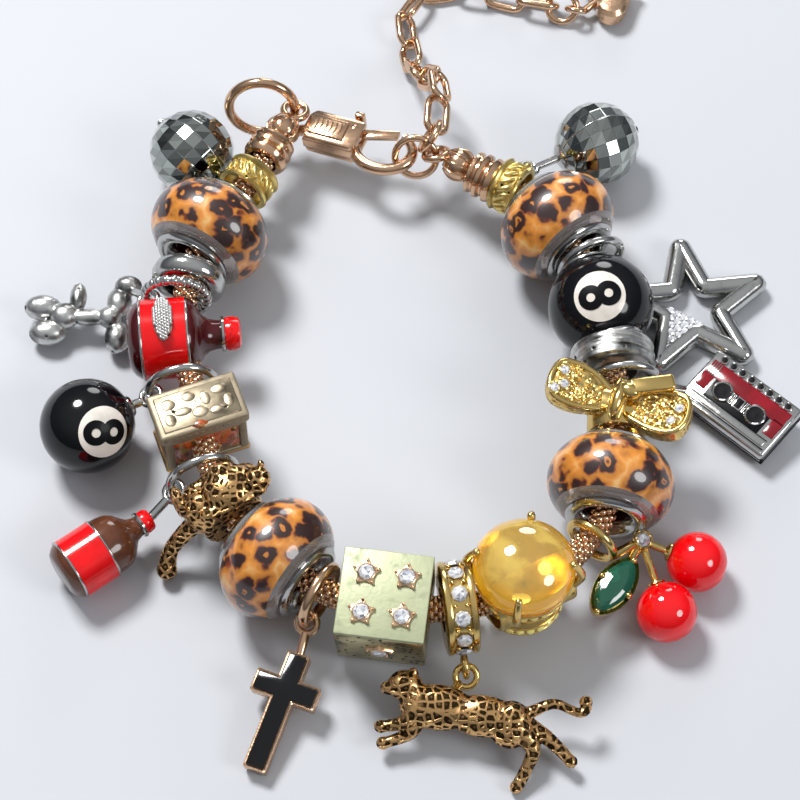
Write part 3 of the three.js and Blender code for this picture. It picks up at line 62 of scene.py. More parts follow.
# Where each piece's own frame is, in mm and degrees: x, y, z, yaw, pitch, roll.
# On the chain X runs along it, Y points into the loop and Z up.
FRAMES = {
    "leopard_1": (-22.87, 12.36, 7.00, -116.2, 0, 0),
    "leopard_2": (-14.14, -29.55, 7.00, -39.9, 0, 0),
    "leopard_3": (21.89, -20.51, 7.00, 80.6, 0, 0),
    "leopard_4": (17.09, 13.16, 7.00, 124.2, 0, 0),
    "stopper_1": (-24.98, 5.82, 7.00, -100.0, 0, 0),
    "stopper_2": (22.76, -4.93, 7.00, 94.1, 0, 0),
    "animal_bail": (-26.27, 3.50, 7.00, -93.6, 0, 0),
    "silver_animal": (-36.80, 3.47, 2.50, 0, 0, 0),
    "bottle_bead": (-25.09, -1.82, 7.00, -84.6, 0, 0),
    "hoop_1": (-25.21, -8.09, 7.00, -78.8, 0, 0),
    "ball_charm": (-35.60, -12.33, 5.30, -20.0, 0, 0),
    "box_bead": (-23.05, -12.90, 7.00, -70.1, 0, 0),
    "hoop_2": (-22.47, -19.51, 7.00, -70.8, 0, 0),
    "bottle_charm": (-32.90, -26.53, 3.80, 36.0, -2.0, 0),
    "cat_bead": (-19.82, -22.91, 7.00, -62.9, 0, 0),
    "cross_bail": (-9.57, -33.91, 7.00, -30.0, 0, 0),
    "cross_charm": (-11.60, -39.33, 3.60, -111.1, 11.0, 0),
    "dice_bead": (-2.55, -35.26, 7.00, -7.5, 0, 10.0),
    "spacer": (5.13, -35.31, 7.00, 8.1, 0, 0),
    "running_cat": (4.40, -44.93, 4.25, -7.0, 0, 22.0),
    "citrine": (12.52, -33.27, 7.00, 26.5, 0, 0),
    "cherry_1": (31.20, -28.13, 3.30, 0, 0, 0),
    "cherry_2": (27.60, -34.13, 3.30, 0, 0, 0),
    "cherry_joint": (25.10, -26.33, 4.60, 0, 0, 0),
    "leaf": (21.90, -32.23, 5.60, 54.0, -6.0, 14.0),
    "bow": (22.86, -12.07, 7.00, 87.0, 0, 0),
    "ball_bead": (21.66, 2.27, 7.00, 105.3, 0, 0),
    "star_bail": (20.76, 8.42, 7.00, 111.9, 0, 0),
    "star": (32.60, 5.37, 1.35, 6.0, 0, 0),
    "tape_bail": (24.01, -7.64, 7.00, 91.9, 0, 0),
    "tape": (37.20, -8.13, 2.20, -42.0, 0, 8.0),
    "rope_bail_1": (-18.51, 19.32, 7.00, -121.8, 0, 0),
    "faceted_ball_1": (-25.50, 24.87, 5.00, -41.4, 17.1, 0),
    "rope_bail_2": (11.82, 18.41, 7.00, 149.3, 0, 0),
    "faceted_ball_2": (22.20, 26.07, 5.00, -154.8, -2.3, 0),
    "clasp_ring": (-17.26, 29.59, 7.39, 88.3, 11.5, 5.8),
    "cap_left": (-17.02, 22.15, 7.00, 63.4, 0, 0),
    "lobster": (-14.24, 29.02, 4.99, -22.0, -5.0, 0),
    "jump_a": (0.84, 23.14, 6.48, 83.8, 29.8, -14.2),
    "cap_right": (10.26, 19.13, 7.00, 150.0, 0, 0),
    "jump_b": (2.56, 24.88, 8.21, -23.3, 27.2, 175.0),
    "end_ring": (18.98, 48.98, 1.72, -107.2, -44.9, -175.4),
    "heart": (25.20, 50.67, 1.70, 112.0, 0, 0),
}


# Sizes and colours that a user would change.
def length(name, description, default):
    return bpy.props.FloatProperty(
        name=name, description=description, default=default * MM, unit="LENGTH", precision=5
    )


def colour(name, description, default):
    return bpy.props.FloatVectorProperty(
        name=name, description=description, default=default, size=3, min=0, max=1, subtype="COLOR_GAMMA"
    )


class BraceletSizes(bpy.types.PropertyGroup):
    """Sizes of the bracelet's pieces"""

    bead_radius: length("Printed bead radius", "Radius of a printed bead at its middle", 7.0)
    bead_length: length("Printed bead length", "Length of a printed bead with its rims", 9.5)
    chain_radius: length("Chain radius", "Radius of the lumpy chain over its lumps", 1.5)
    lump_step: length("Lump spacing", "Distance between two rows of lumps on the chain", 0.95)
    faceted_radius: length("Mirror ball radius", "Radius of a hanging mirror ball", 5.0)
    ball_charm_radius: length("Hanging number ball radius", "Radius of the hanging black ball", 5.3)
    ball_bead_radius: length("Number bead radius", "Radius of the black ball on the chain", 6.0)
    dice_side: length("Cube side", "Side of the cube with stars", 9.5)
    stone_radius: length("Yellow stone radius", "Radius of the large yellow stone", 5.5)
    cherry_radius: length("Cherry radius", "Radius of a cherry", 3.3)
    star_radius: length("Star radius", "Distance from the star's middle to a tip", 9.6)
    tape_length: length("Cassette length", "Length of the small cassette", 12.0)


class BraceletColours(bpy.types.PropertyGroup):
    """Colours of the bracelet's finishes"""

    rose_gold: colour("Rose gold", "Clasp, chain and cross", (0.86, 0.71, 0.58))
    yellow_gold: colour("Yellow gold", "Bow, spacer and stone settings", (0.88, 0.76, 0.48))
    antique_gold: colour("Antique gold", "The two spotted cats", (0.78, 0.62, 0.42))
    silver: colour("Silver", "Star, rims, rings and stoppers", (0.76, 0.76, 0.75))
    print_base: colour("Print base", "Ground of the leopard print", (0.76, 0.48, 0.16))
    print_spot: colour("Print spots", "Dark spots of the leopard print", (0.12, 0.05, 0.04))
    mirror: colour("Mirror glass", "Facets of the hanging mirror balls", (0.58, 0.60, 0.58))
    maroon: colour("Maroon enamel", "Body of the bottle bead", (0.25, 0.02, 0.04))
    red: colour("Red enamel", "Bottle labels and caps", (0.87, 0.01, 0.03))
    brown: colour("Brown enamel", "Body of the hanging bottle", (0.35, 0.20, 0.13))
    black: colour("Black enamel", "Number balls and the cross inlay", (0.035, 0.035, 0.05))
    white: colour("White enamel", "Discs of the number balls", (0.88, 0.85, 0.81))
    cream: colour("Cream gold", "Box lid and sides", (0.62, 0.57, 0.48))
    amber: colour("Amber enamel", "Front panel of the box", (0.78, 0.34, 0.05))
    mint: colour("Mint enamel", "Top of the cube", (0.67, 0.69, 0.56))
    olive: colour("Olive gold", "Worn sides of the cube", (0.72, 0.68, 0.52))
    citrine: colour("Yellow stone", "Top of the large yellow stone", (0.92, 0.84, 0.46))
    honey: colour("Honey stone", "Rim of the large yellow stone", (0.97, 0.76, 0.16))
    cherry: colour("Red glass", "The cherries", (0.87, 0.0, 0.04))
    leaf: colour("Green stone", "The leaf", (0.01, 0.30, 0.22))
    label: colour("Cassette label", "Face of the cassette", (0.50, 0.02, 0.09))
    floor: colour("Floor", "The plain floor", (0.72, 0.73, 0.75))


def sizes():
    return bpy.context.scene.bracelet_sizes


def linear(gamma):
    """A screen colour as the shader takes it."""
    return tuple(c / 12.92 if c <= 0.04045 else ((c + 0.055) / 1.055) ** 2.4 for c in gamma)


def tint(name, shade=1.0):
    """A colour of the palette, lighter or darker, ready for a shader."""
    return (*(min(1.0, c * shade) for c in linear(getattr(bpy.context.scene.bracelet_colours, name))), 1.0)


# Shaders.
class Link:
    """A shader socket on which arithmetic adds Math nodes."""

    def __init__(self, shader, socket):
        self.shader = shader
        self.socket = socket

    def _math(self, operation, *values):
        named = dict(enumerate(values))
        return self.shader.node("ShaderNodeMath", {"operation": operation}, named)

    def __add__(self, other):
        return self._math("ADD", self, other)

    def __radd__(self, other):
        return self._math("ADD", other, self)

    def __sub__(self, other):
        return self._math("SUBTRACT", self, other)

    def __rsub__(self, other):
        return self._math("SUBTRACT", other, self)

    def __mul__(self, other):
        return self._math("MULTIPLY", self, other)

    def __rmul__(self, other):
        return self._math("MULTIPLY", other, self)


class Shader:
    """A new material, its principled shader and the nodes that feed it."""

    def __init__(self, name, **fixed):
        self.material = bpy.data.materials.new(name)
        self.material.use_nodes = True
        self.tree = self.material.node_tree
        self.surface = self.tree.nodes["Principled BSDF"]
        self.place = self.node("ShaderNodeTexCoord", out="Object")
        for socket, value in fixed.items():
            self.feed(self.surface.inputs[socket.replace("_", " ")], value)

    def node(self, kind, settings=None, values=None, out=0):
        made = self.tree.nodes.new(kind)
        for key, value in (settings or {}).items():
            if key == "stops":
                for stop, (position, shade) in zip(self._stops(made, len(value)), value):
                    stop.position = position
                    stop.color = shade
            else:
                setattr(made, key, value)
        for socket, value in (values or {}).items():
            self.feed(made.inputs[socket], value)
        return Link(self, made.outputs[out])

    @staticmethod
    def _stops(made, count):
        while len(made.color_ramp.elements) < count:
            made.color_ramp.elements.new(0.5)
        return made.color_ramp.elements

    def feed(self, socket, value):
        if isinstance(value, Link):
            self.tree.links.new(value.socket, socket)
        else:
            socket.default_value = value

    def put(self, socket, value):
        self.feed(self.surface.inputs[socket], value)

    def noise(self, scale, detail=2.0, roughness=0.5, place=None, out=0):
        values = {"Vector": place or self.place, "Scale": scale, "Detail": detail, "Roughness": roughness}
        return self.node("ShaderNodeTexNoise", {}, values, out)

    def cells(self, scale, place=None, feature="F1", out=0, randomness=1.0):
        values = {"Vector": place or self.place, "Scale": scale, "Randomness": randomness}
        return self.node("ShaderNodeTexVoronoi", {"feature": feature}, values, out)

    def ease(self, value, low, high):
        """0 below low, 1 above high, smooth between."""
        names = {"Value": value, "From Min": low, "From Max": high}
        return self.node("ShaderNodeMapRange", {"interpolation_type": "SMOOTHSTEP"}, names)

    def blend(self, share, first, second):
        return self.node("ShaderNodeMix", {"data_type": "RGBA"}, {0: share, 6: first, 7: second}, out=2)

    def vector(self, operation, *values):
        return self.node("ShaderNodeVectorMath", {"operation": operation}, dict(enumerate(values)))

    def jitter(self, scale, amount):
        """The place on the piece, pushed about by noise."""
        push = self.vector("SUBTRACT", self.noise(scale, out="Color"), (0.5, 0.5, 0.5))
        return self.vector("ADD", self.place, self.vector("MULTIPLY", push, (amount, amount, amount)))

    def painted_facet_reflection(self, scale):
        """A number of its own for each flat facet, from which each facet gets its own painted reflection."""
        facing = self.node("ShaderNodeNewGeometry", out="True Normal")
        place = self.vector("MULTIPLY", facing, (scale, scale, scale))
        return self.node("ShaderNodeTexWhiteNoise", {}, {"Vector": place})

    def bump(self, height, strength, distance=0.00006):
        values = {"Height": height, "Strength": strength, "Distance": distance}
        self.put("Normal", self.node("ShaderNodeBump", {}, values))


def metal(name, key, roughness, grain=0.25, metallic=1.0):
    """Polished metal: faint cast waves, fine scratches and a little tarnish."""
    shader = Shader(name, Metallic=metallic)
    broad = shader.noise(260, 3)
    fine = shader.noise(2600, 4)
    tarnish = shader.ease(shader.noise(700, 3), 0.52, 0.78)
    body = shader.blend(broad, tint(key, 0.82), tint(key, 1.12))
    shader.put("Base Color", shader.blend(tarnish * 0.5, body, tint(key, 0.45)))
    shader.put("Roughness", roughness + (fine - 0.5) * 0.14 + tarnish * 0.12)
    shader.bump(broad * 0.6 + fine * 0.4, grain)
    return shader.material


def antique(name, key, pit_scale, pit_size, depth=0.9, grimy=0.6):
    """Cast metal with dark pits and dark low places."""
    shader = Shader(name, Metallic=1.0)
    pits = shader.cells(pit_scale, shader.jitter(900, 0.00022), randomness=0.6)
    pit = 1 - shader.ease(pits, pit_size, pit_size + 0.12)
    grime = shader.ease(shader.noise(420, 4), 0.46, 0.70)
    fine = shader.noise(2400, 4)
    body = shader.blend(shader.noise(240, 2), tint(key, 0.8), tint(key, 1.5))
    dark = shader.blend(grime * grimy, body, tint(key, 0.2))
    shader.put("Base Color", shader.blend(pit, dark, tint(key, 0.05)))
    shader.put("Roughness", 0.24 + fine * 0.15 + pit * 0.4)
    shader.bump(fine * 0.12 - pit, depth, 0.00018)
    return shader.material


def netted(name, key, scale):
    """Cast metal under a raised net, each mesh a dark hollow with a brown floor."""
    shader = Shader(name, Metallic=1.0)
    moved = shader.jitter(700, 0.0003)
    line = 1 - shader.ease(shader.cells(scale, moved, "DISTANCE_TO_EDGE", randomness=0.6), 0.09, 0.19)
    floor = 1 - shader.ease(shader.cells(scale, moved, randomness=0.6), 0.10, 0.26)
    plain = shader.ease(shader.noise(300, 3), 0.60, 0.76)
    fine = shader.noise(2400, 4)
    body = shader.blend(shader.noise(240, 2), tint(key, 0.85), tint(key, 1.5))
    hollow = shader.blend(floor * 0.8, tint(key, 0.05), tint(key, 0.28))
    raised = line + (1 - line) * plain * 0.5
    shader.put("Base Color", shader.blend(raised, hollow, body))
    shader.put("Roughness", 0.5 - raised * 0.28 + fine * 0.12)
    shader.bump(raised + floor * 0.25 + fine * 0.08, 1.0, 0.0002)
    return shader.material


def nugget(name, key):
    """Cast metal crumpled like foil, bright on its ridges, with painted shade darkening the creases between
    them.
    """
    shader = Shader(name, Metallic=1.0)
    crumple = shader.cells(1500, shader.jitter(700, 0.0005), "SMOOTH_F1")
    # Painted shade: the creases between the ridges are darkened.
    low = 1 - shader.ease(crumple, 0.12, 0.5)
    body = shader.blend(shader.noise(300, 2), tint(key, 0.9), tint(key, 1.35))
    shader.put("Base Color", shader.blend(low * 0.35, body, tint(key, 0.3)))
    shader.put("Roughness", 0.2 + shader.noise(2400, 3) * 0.15)
    shader.bump(crumple, 1.0, 0.0003)
    return shader.material


def enamel(name, key, wave=0.12, roughness=0.12, coat_share=0.4, cloudy=1.0, gloss=0.35):
    """Glossy enamel: a poured, slightly wavy coat with depth in its colour."""
    shader = Shader(name, Coat_Roughness=0.03, Specular_IOR_Level=gloss)
    cloud = shader.noise(330, 3)
    speck = shader.ease(shader.noise(3000, 2), 0.62, 0.75)
    share = shader.ease(cloud, 0.5 - 0.3 / cloudy, 0.5 + 0.3 / cloudy)
    body = shader.blend(share, tint(key, 0.78), tint(key, 1.2))
    shader.put("Base Color", shader.blend(speck * 0.2, body, tint(key, 1.8)))
    shader.put("Roughness", roughness + cloud * 0.1)
    shader.put("Coat Weight", coat_share)
    shader.bump(shader.noise(500, 2), wave)
    return shader.material


def glass_stone(name, key, glow=0.0, painted_reflection_share=0.5, coat_share=0.8):
    """A cut stone: pale and deep flecks are painted reflections of what its facets throw about inside, small
    bright specks are painted glints, and glow gives it a painted glow.
    """
    shader = Shader(name, IOR=1.5, Coat_Weight=coat_share, Coat_Roughness=0.01)
    deep = shader.cells(420, shader.jitter(300, 0.0012), out="Color")
    grey = shader.node("ShaderNodeSeparateColor", {}, {0: deep})
    # Painted glints: small bright specks.
    speck = shader.ease(shader.cells(1700, out="Distance", randomness=1.0), 0.16, 0.05)
    body = shader.blend(shader.noise(170, 2), tint(key, 0.75), tint(key, 1.15))
    light = shader.blend(shader.ease(grey, 0.35, 0.95) * painted_reflection_share, body, tint(key, 1.7))
    shader.put("Base Color", shader.blend(speck * 0.4, light, tint(key, 2.4)))
    shader.put("Roughness", 0.03 + shader.noise(900) * 0.03)
    # Painted glow: the stone is given light of its own.
    if glow:
        shader.put("Emission Color", light)
        shader.put("Emission Strength", glow)
    return shader.material


def tortoise():
    """Amber enamel veined with gold, brown where it is deep."""
    shader = Shader("amber_enamel", Coat_Weight=0.5, Coat_Roughness=0.04)
    moved = shader.jitter(500, 0.0016)
    vein = shader.ease(shader.noise(900, 4, place=moved), 0.52, 0.66)
    deep = shader.ease(shader.noise(420, 3), 0.38, 0.62)
    body = shader.blend(deep, tint("amber", 0.2), tint("amber", 0.85))
    shader.put("Base Color", shader.blend(vein * 0.7, body, tint("yellow_gold", 0.8)))
    shader.put("Metallic", vein * 0.6)
    shader.put("Roughness", 0.15 + deep * 0.15)
    shader.bump(vein, 0.4)
    return shader.material


def honey_stone():
    """A clear dome with a deep honey rim, a paler, flecked top and a faint painted glow."""
    low, high = (z for _, _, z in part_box("citrine_stone"))
    shader = Shader("yellow_stone", IOR=1.5, Coat_Weight=0.9, Coat_Roughness=0.01, Transmission_Weight=0.75)
    height = shader.node("ShaderNodeSeparateXYZ", {}, {0: shader.place}, out=2)
    wave = (shader.noise(260, 3) - 0.5) * 0.0016
    top = shader.ease(height + wave, low + 0.35 * (high - low), low + 0.80 * (high - low))
    cloud = shader.ease(shader.noise(330, 3, place=shader.jitter(200, 0.002)), 0.40, 0.66)
    crown = shader.blend(cloud, tint("citrine", 0.7), tint("citrine", 1.35))
    shade = shader.blend(top, tint("honey"), crown)
    shader.put("Base Color", shade)
    # Painted glow: the stone is given a little light of its own.
    shader.put("Emission Color", shade)
    shader.put("Emission Strength", 0.10)
    shader.put("Roughness", 0.03 + cloud * 0.03)
    return shader.material


def crystal():
    """Small clear stones: each facet painted a different grey, some nearly white, as painted reflections and
    sparkle.
    """
    shader = Shader("crystal", Metallic=0.25, IOR=1.7, Coat_Weight=1.0, Coat_Roughness=0.0)
    painted_facet_reflection = shader.painted_facet_reflection(9)
    # Painted reflections: each facet's grey, from near black to white, stands for what it reflects.
    shade = shader.node(
        "ShaderNodeValToRGB",
        {"stops": [(0.0, (0.10, 0.10, 0.12, 1)), (0.3, (0.5, 0.51, 0.55, 1)), (1.0, (1, 1, 1, 1))]},
        {0: painted_facet_reflection},
    )
    cloud = shader.noise(1400)
    shader.put("Base Color", shader.blend(cloud * 0.4, shade, (0.75, 0.78, 0.85, 1)))
    shader.put("Roughness", 0.03 + cloud * 0.05)
    return shader.material


def mirror_glass():
    """Mirrored facets that each tilt a little differently, each painted lighter or darker as its own painted
    reflection, under a little dust.
    """
    shader = Shader("mirror_glass", Metallic=1.0, Coat_Weight=1.0, Coat_Roughness=0.0)
    painted_facet_reflection = shader.painted_facet_reflection(7)
    dust = shader.ease(shader.noise(2600, 3), 0.55, 0.8)
    # Painted reflection: each facet is painted from a dark to a bright mirror colour.
    facet = shader.blend(painted_facet_reflection, tint("mirror", 0.25), tint("mirror", 1.9))
    shader.put("Base Color", shader.blend(dust * 0.3, facet, tint("mirror", 0.9)))
    shader.put("Roughness", 0.05 + dust * 0.2)
    return shader.material


def leopard_print(offset):
    """Dense dark blots, some open in the middle, on an orange ground under clear resin."""
    shader = Shader("leopard_print_%d" % offset, Coat_Weight=0.9, Coat_Roughness=0.01, Roughness=0.35)
    shift = (0.013 * offset, 0.007 * offset, 0.004 * offset)
    moved = shader.vector("ADD", shader.jitter(520, 0.0022), shift)
    near = shader.cells(420, moved, randomness=0.85)
    open_ones = shader.ease(shader.noise(380, 1, place=moved), 0.44, 0.50)
    hole = (1 - shader.ease(near, 0.16, 0.30)) * open_ones
    level = near + hole * 0.42 + (shader.noise(1500, 3) - 0.5) * 0.05
    dark, rust = tint("print_spot"), (0.17, 0.03, 0.008, 1)
    stops = [
        (0.0, dark), (0.44, dark), (0.49, rust), (0.55, tint("print_base", 0.85)),
        (0.70, tint("print_base", 1.25)), (0.92, (0.78, 0.47, 0.17, 1)),
    ]
    ink = shader.node("ShaderNodeValToRGB", {"stops": stops}, {0: level})
    shader.put("Base Color", shader.blend(shader.noise(2200, 2) * 0.12, ink, rust))
    shader.bump(shader.noise(300, 2), 0.03)
    return shader.material


def resin(name, shade):
    """Clear resin with a milky tint."""
    shader = Shader(name, IOR=1.49, Transmission_Weight=0.75, Coat_Weight=1.0, Coat_Roughness=0.0)
    cloud = shader.noise(420, 3)
    shader.put("Base Color", shader.blend(cloud, shade, tuple(min(1.0, 1.25 * c) for c in shade)))
    shader.put("Roughness", 0.03 + cloud * 0.04)
    return shader.material


FINISHES = {
    "rose_gold": lambda: metal("rose_gold", "rose_gold", 0.16),
    "rose_cast": lambda: metal("rose_cast", "rose_gold", 0.26, 0.9),
    "rose_old": lambda: antique("rose_old", "rose_gold", 700, 0.05, 0.4, 0.9),
    "yellow_gold": lambda: metal("yellow_gold", "yellow_gold", 0.18),
    "worn_gold": lambda: antique("worn_gold", "yellow_gold", 700, 0.08, 0.5),
    "nugget_gold": lambda: nugget("nugget_gold", "yellow_gold"),
    "cat_gold": lambda: netted("cat_gold", "antique_gold", 1150),
    "runner_gold": lambda: netted("runner_gold", "antique_gold", 1100),
    "bronze": lambda: antique("bronze", "antique_gold", 500, 0.1, 0.6, 0.9),
    "silver": lambda: metal("silver", "silver", 0.14),
    "antique_silver": lambda: antique("antique_silver", "silver", 520, 0.05, 0.6, 0.95),
    "pave_ground": lambda: antique("pave_ground", "mirror", 900, 0.3, 0.8, 1.0),
    "mirror_glass": mirror_glass,
    "crystal": crystal,
    "maroon": lambda: enamel("maroon_enamel", "maroon"),
    "red": lambda: enamel("red_enamel", "red"),
    "brown": lambda: enamel("brown_enamel", "brown", cloudy=2.0),
    "black": lambda: enamel("black_enamel", "black", wave=0.04, roughness=0.06, coat_share=0.2, gloss=0.3),
    "white": lambda: enamel("white_enamel", "white", wave=0.05, roughness=0.3, coat_share=0.2),
    "ink": lambda: enamel("black_ink", "black", wave=0.05, roughness=0.35, coat_share=0.05, gloss=0.12),
    "cream": lambda: metal("cream_gold", "cream", 0.5, 0.9, metallic=0.7),
    "cream_old": lambda: antique("cream_old", "cream", 640, 0.05, 0.5, 0.7),
    "amber": tortoise,
    "mint": lambda: metal("mint_pearl", "mint", 0.5, 1.0, metallic=0.5),
    "olive_old": lambda: antique("olive_old", "olive", 1300, 0.18, 0.3, 0.85),
    "citrine": honey_stone,
    # 0.10 is a painted glow.
    "cherry": lambda: glass_stone("red_glass", "cherry", 0.10, painted_reflection_share=0.2, coat_share=0.4),
    "leaf": lambda: glass_stone("green_stone", "leaf"),
    "label": lambda: enamel("cassette_label", "label", wave=0.2, cloudy=2.0),
    # 0.1 is a painted glow.
    "yellow_gem": lambda: glass_stone("yellow_gem", "citrine", 0.1),
    "clear_end": lambda: resin("clear_resin", (0.60, 0.52, 0.49, 1)),
}
made_finishes = {}


def finish(name):
    """A finish by name, made when it is first asked for."""
    if name not in made_finishes:
        if name.startswith("leopard"):
            made_finishes[name] = leopard_print(int(name[-1]))
        else:
            made_finishes[name] = FINISHES[name]()
    return made_finishes[name]


# Modelling.
def fresh():
    """Object mode with nothing selected."""
    if bpy.context.mode != "OBJECT":
        bpy.ops.object.mode_set(mode="OBJECT")
    bpy.ops.object.select_all(action="DESELECT")


def choose(*parts):
    """Selects these parts alone, the first of them active."""
    fresh()
    for part in parts:
        part.select_set(True)
    bpy.context.view_layer.objects.active = parts[0]
    return parts[0]


def apply_place():
    bpy.ops.object.transform_apply(location=True, rotation=True, scale=True)


def open_mesh(kind="EDGE"):
    """Edit mode with all of the active mesh selected."""
    bpy.ops.object.mode_set(mode="EDIT")
    bpy.ops.mesh.select_mode(type=kind)
    bpy.ops.mesh.select_all(action="SELECT")


def pick_faces(test):
    """Selects the faces whose middle and normal pass a test."""
    bpy.ops.mesh.select_all(action="DESELECT")
    bpy.ops.mesh.select_mode(type="FACE")
    mesh = bmesh.from_edit_mesh(bpy.context.object.data)
    for face in mesh.faces:
        face.select_set(bool(test(face.calc_center_median(), face.normal)))
    bmesh.update_edit_mesh(bpy.context.object.data)


def coat(part, name, angle=40.0):
    """Gives a part its finish. Angle 0 keeps every face flat."""
    choose(part)
    part.data.materials.clear()
    part.data.materials.append(finish(name))
    if angle:
        bpy.ops.object.shade_smooth_by_angle(angle=math.radians(angle))
    else:
        bpy.ops.object.shade_flat()
    return part


def turned(profile, name, sides=40, angle=40.0):
    """A shape turned about X: a circle extruded through its (x, radius) profile."""
    fresh()
    x, radius = profile[0]
    bpy.ops.mesh.primitive_circle_add(
        vertices=sides, radius=max(radius, POLE), location=(x, 0, 0), rotation=(0, math.pi / 2, 0)
    )
    apply_place()
    open_mesh()
    for (x, radius), (next_x, next_radius) in zip(profile, profile[1:]):
        bpy.ops.mesh.extrude_region_move(TRANSFORM_OT_translate={"value": (next_x - x, 0, 0)})
        share = max(next_radius, POLE) / max(radius, POLE)
        bpy.ops.transform.resize(value=(1, share, share), center_override=(next_x, 0, 0))
    bpy.ops.mesh.select_all(action="SELECT")
    bpy.ops.mesh.remove_doubles(threshold=4 * POLE)
    bpy.ops.mesh.normals_make_consistent(inside=False)
    bpy.ops.object.mode_set(mode="OBJECT")
    return coat(bpy.context.object, name, angle)


def wire(points, radius, name, closed=False, rounding=3, steps=6):
    """A round wire through points (x, y, z) or (x, y, z, share of the radius)."""
    fresh()
    bpy.ops.curve.primitive_nurbs_path_add()
    curve = bpy.context.object.data
    curve.splines.clear()
    spline = curve.splines.new("NURBS")
    spline.points.add(len(points) - 1)
    for knot, point in zip(spline.points, points):
        knot.co = (*point[:3], 1)
        knot.radius = point[3] if len(point) > 3 else 1
    spline.use_cyclic_u = closed
    spline.use_endpoint_u = not closed
    spline.order_u = 3
    curve.dimensions = "3D"
    curve.bevel_depth = radius
    curve.bevel_resolution = rounding
    curve.resolution_u = steps
    curve.use_fill_caps = True
    bpy.ops.object.convert(target="MESH")
    return coat(bpy.context.object, name, 60)


def arc(radius, first=0.0, last=360.0, count=24, x=0.0):
    """Points of an arc across X. Angle 0 is at -Y and 90 at +Z."""
    points = []
    for i in range(count + 1):
        a = math.radians(first + (last - first) * i / count)
        points.append((x, -radius * math.cos(a), radius * math.sin(a)))
    return points


def jump_ring(radius, thickness, name, split=215.0):
    """A ring of bent wire across X, with the hairline where its ends meet."""
    return wire(arc(radius, split + 0.6, split + 359.4, 28), thickness, name, rounding=4, steps=3)


def lump(centre, radii, name, turn=(0, 0, 0), segments=20, rings=12):
    """A rounded lump: a ball drawn out to its three radii."""
    fresh()
    bpy.ops.mesh.primitive_uv_sphere_add(
        segments=segments, ring_count=rings, radius=1, location=centre, rotation=turn
    )
    bpy.context.object.scale = radii if isinstance(radii, tuple) else (radii,) * 3
    apply_place()
    return coat(bpy.context.object, name, 60)


def block(centre, size, name, bevel=0.2, turn=(0, 0, 0), segments=2):
    """A block with rounded edges."""
    fresh()
    bpy.ops.mesh.primitive_cube_add(size=1, location=centre, rotation=turn)
    bpy.context.object.scale = size
    apply_place()
    open_mesh()
    bpy.ops.mesh.bevel(offset=bevel, segments=segments, affect="EDGES")
    bpy.ops.object.mode_set(mode="OBJECT")
    return coat(bpy.context.object, name, 50)


def joined(*parts):
    """Several parts as one."""
    obj = choose(*parts)
    if len(parts) > 1:
        bpy.ops.object.join()
    apply_place()
    return obj


def turned_to(way, at=(0, 0, 0)):
    """A matrix that takes X to a direction and the origin to a place."""
    turn = Vector((1, 0, 0)).rotation_difference(Vector(way)).to_matrix().to_4x4()
    return Matrix.Translation(at) @ turn


def put(part, matrix):
    """Moves a part by a matrix and applies it."""
    choose(part)
    part.matrix_world = matrix @ part.matrix_world
    apply_place()
    return part


def spread(model, matrices):
    """Copies of a part at each of the matrices, joined. The model itself is used up."""
    copies = []
    for matrix in matrices:
        choose(model)
        bpy.ops.object.duplicate()
        copy = bpy.context.object
        copy.matrix_world = matrix @ copy.matrix_world
        copies.append(copy)
    choose(model)
    bpy.ops.object.delete()
    return joined(*copies)


def gem(radius, name="crystal"):
    """A small brilliant about X: girdle, crown facets and a flat table."""
    profile = [(-0.55, 0), (-0.08, 1), (0.05, 1), (0.24, 0.86), (0.42, 0.58), (0.42, 0)]
    return turned([(x * radius, r * radius) for x, r in profile], name, 8, 0)


def studs(places, model):
    """Copies of a gem or bead at (point, direction) places."""
    return spread(model, [turned_to(way, at) for at, way in places])


def melted(parts, voxel, name, rounds=4, angle=60.0):
    """Overlapping lumps run together into one cast form."""
    obj = joined(*parts)
    remesh = obj.modifiers.new("cast", "REMESH")
    remesh.mode = "VOXEL"
    remesh.voxel_size = voxel
    bpy.ops.object.modifier_apply(modifier=remesh.name)
    soften = obj.modifiers.new("soften", "SMOOTH")
    soften.factor = 0.5
    soften.iterations = rounds
    bpy.ops.object.modifier_apply(modifier=soften.name)
    return coat(obj, name, angle)


def outline_plate(points, depth, name, bevel=0.3, inner=None):
    """A flat plate from its outline in XY, centred on Z, its edges bevelled."""
    fresh()
    bpy.ops.mesh.primitive_circle_add(vertices=len(points), radius=1, fill_type="NGON")
    obj = bpy.context.object
    apply_place()
    bpy.ops.object.mode_set(mode="EDIT")
    mesh = bmesh.from_edit_mesh(obj.data)
    for corner, (x, y) in zip(mesh.verts, points):
        corner.co = (x, y, -depth / 2)
    bmesh.update_edit_mesh(obj.data)
    bpy.ops.mesh.select_mode(type="FACE")
    bpy.ops.mesh.select_all(action="SELECT")
    bpy.ops.mesh.normals_make_consistent(inside=False)
    bpy.ops.mesh.extrude_region_move(TRANSFORM_OT_translate={"value": (0, 0, depth)})
    bpy.ops.mesh.select_all(action="SELECT")
    bpy.ops.mesh.normals_make_consistent(inside=False)
    if inner:
        pick_faces(lambda middle, normal: normal.z > 0.9)
        bpy.ops.mesh.inset(thickness=inner[0])
        bpy.ops.transform.translate(value=(0, 0, -inner[1]))
    bpy.ops.object.mode_set(mode="OBJECT")
    if bevel:
        edges = obj.modifiers.new("edges", "BEVEL")
        edges.width = bevel
        edges.segments = 2
        edges.angle_limit = math.radians(35)
        bpy.ops.object.modifier_apply(modifier=edges.name)
    return coat(obj, name, 35)


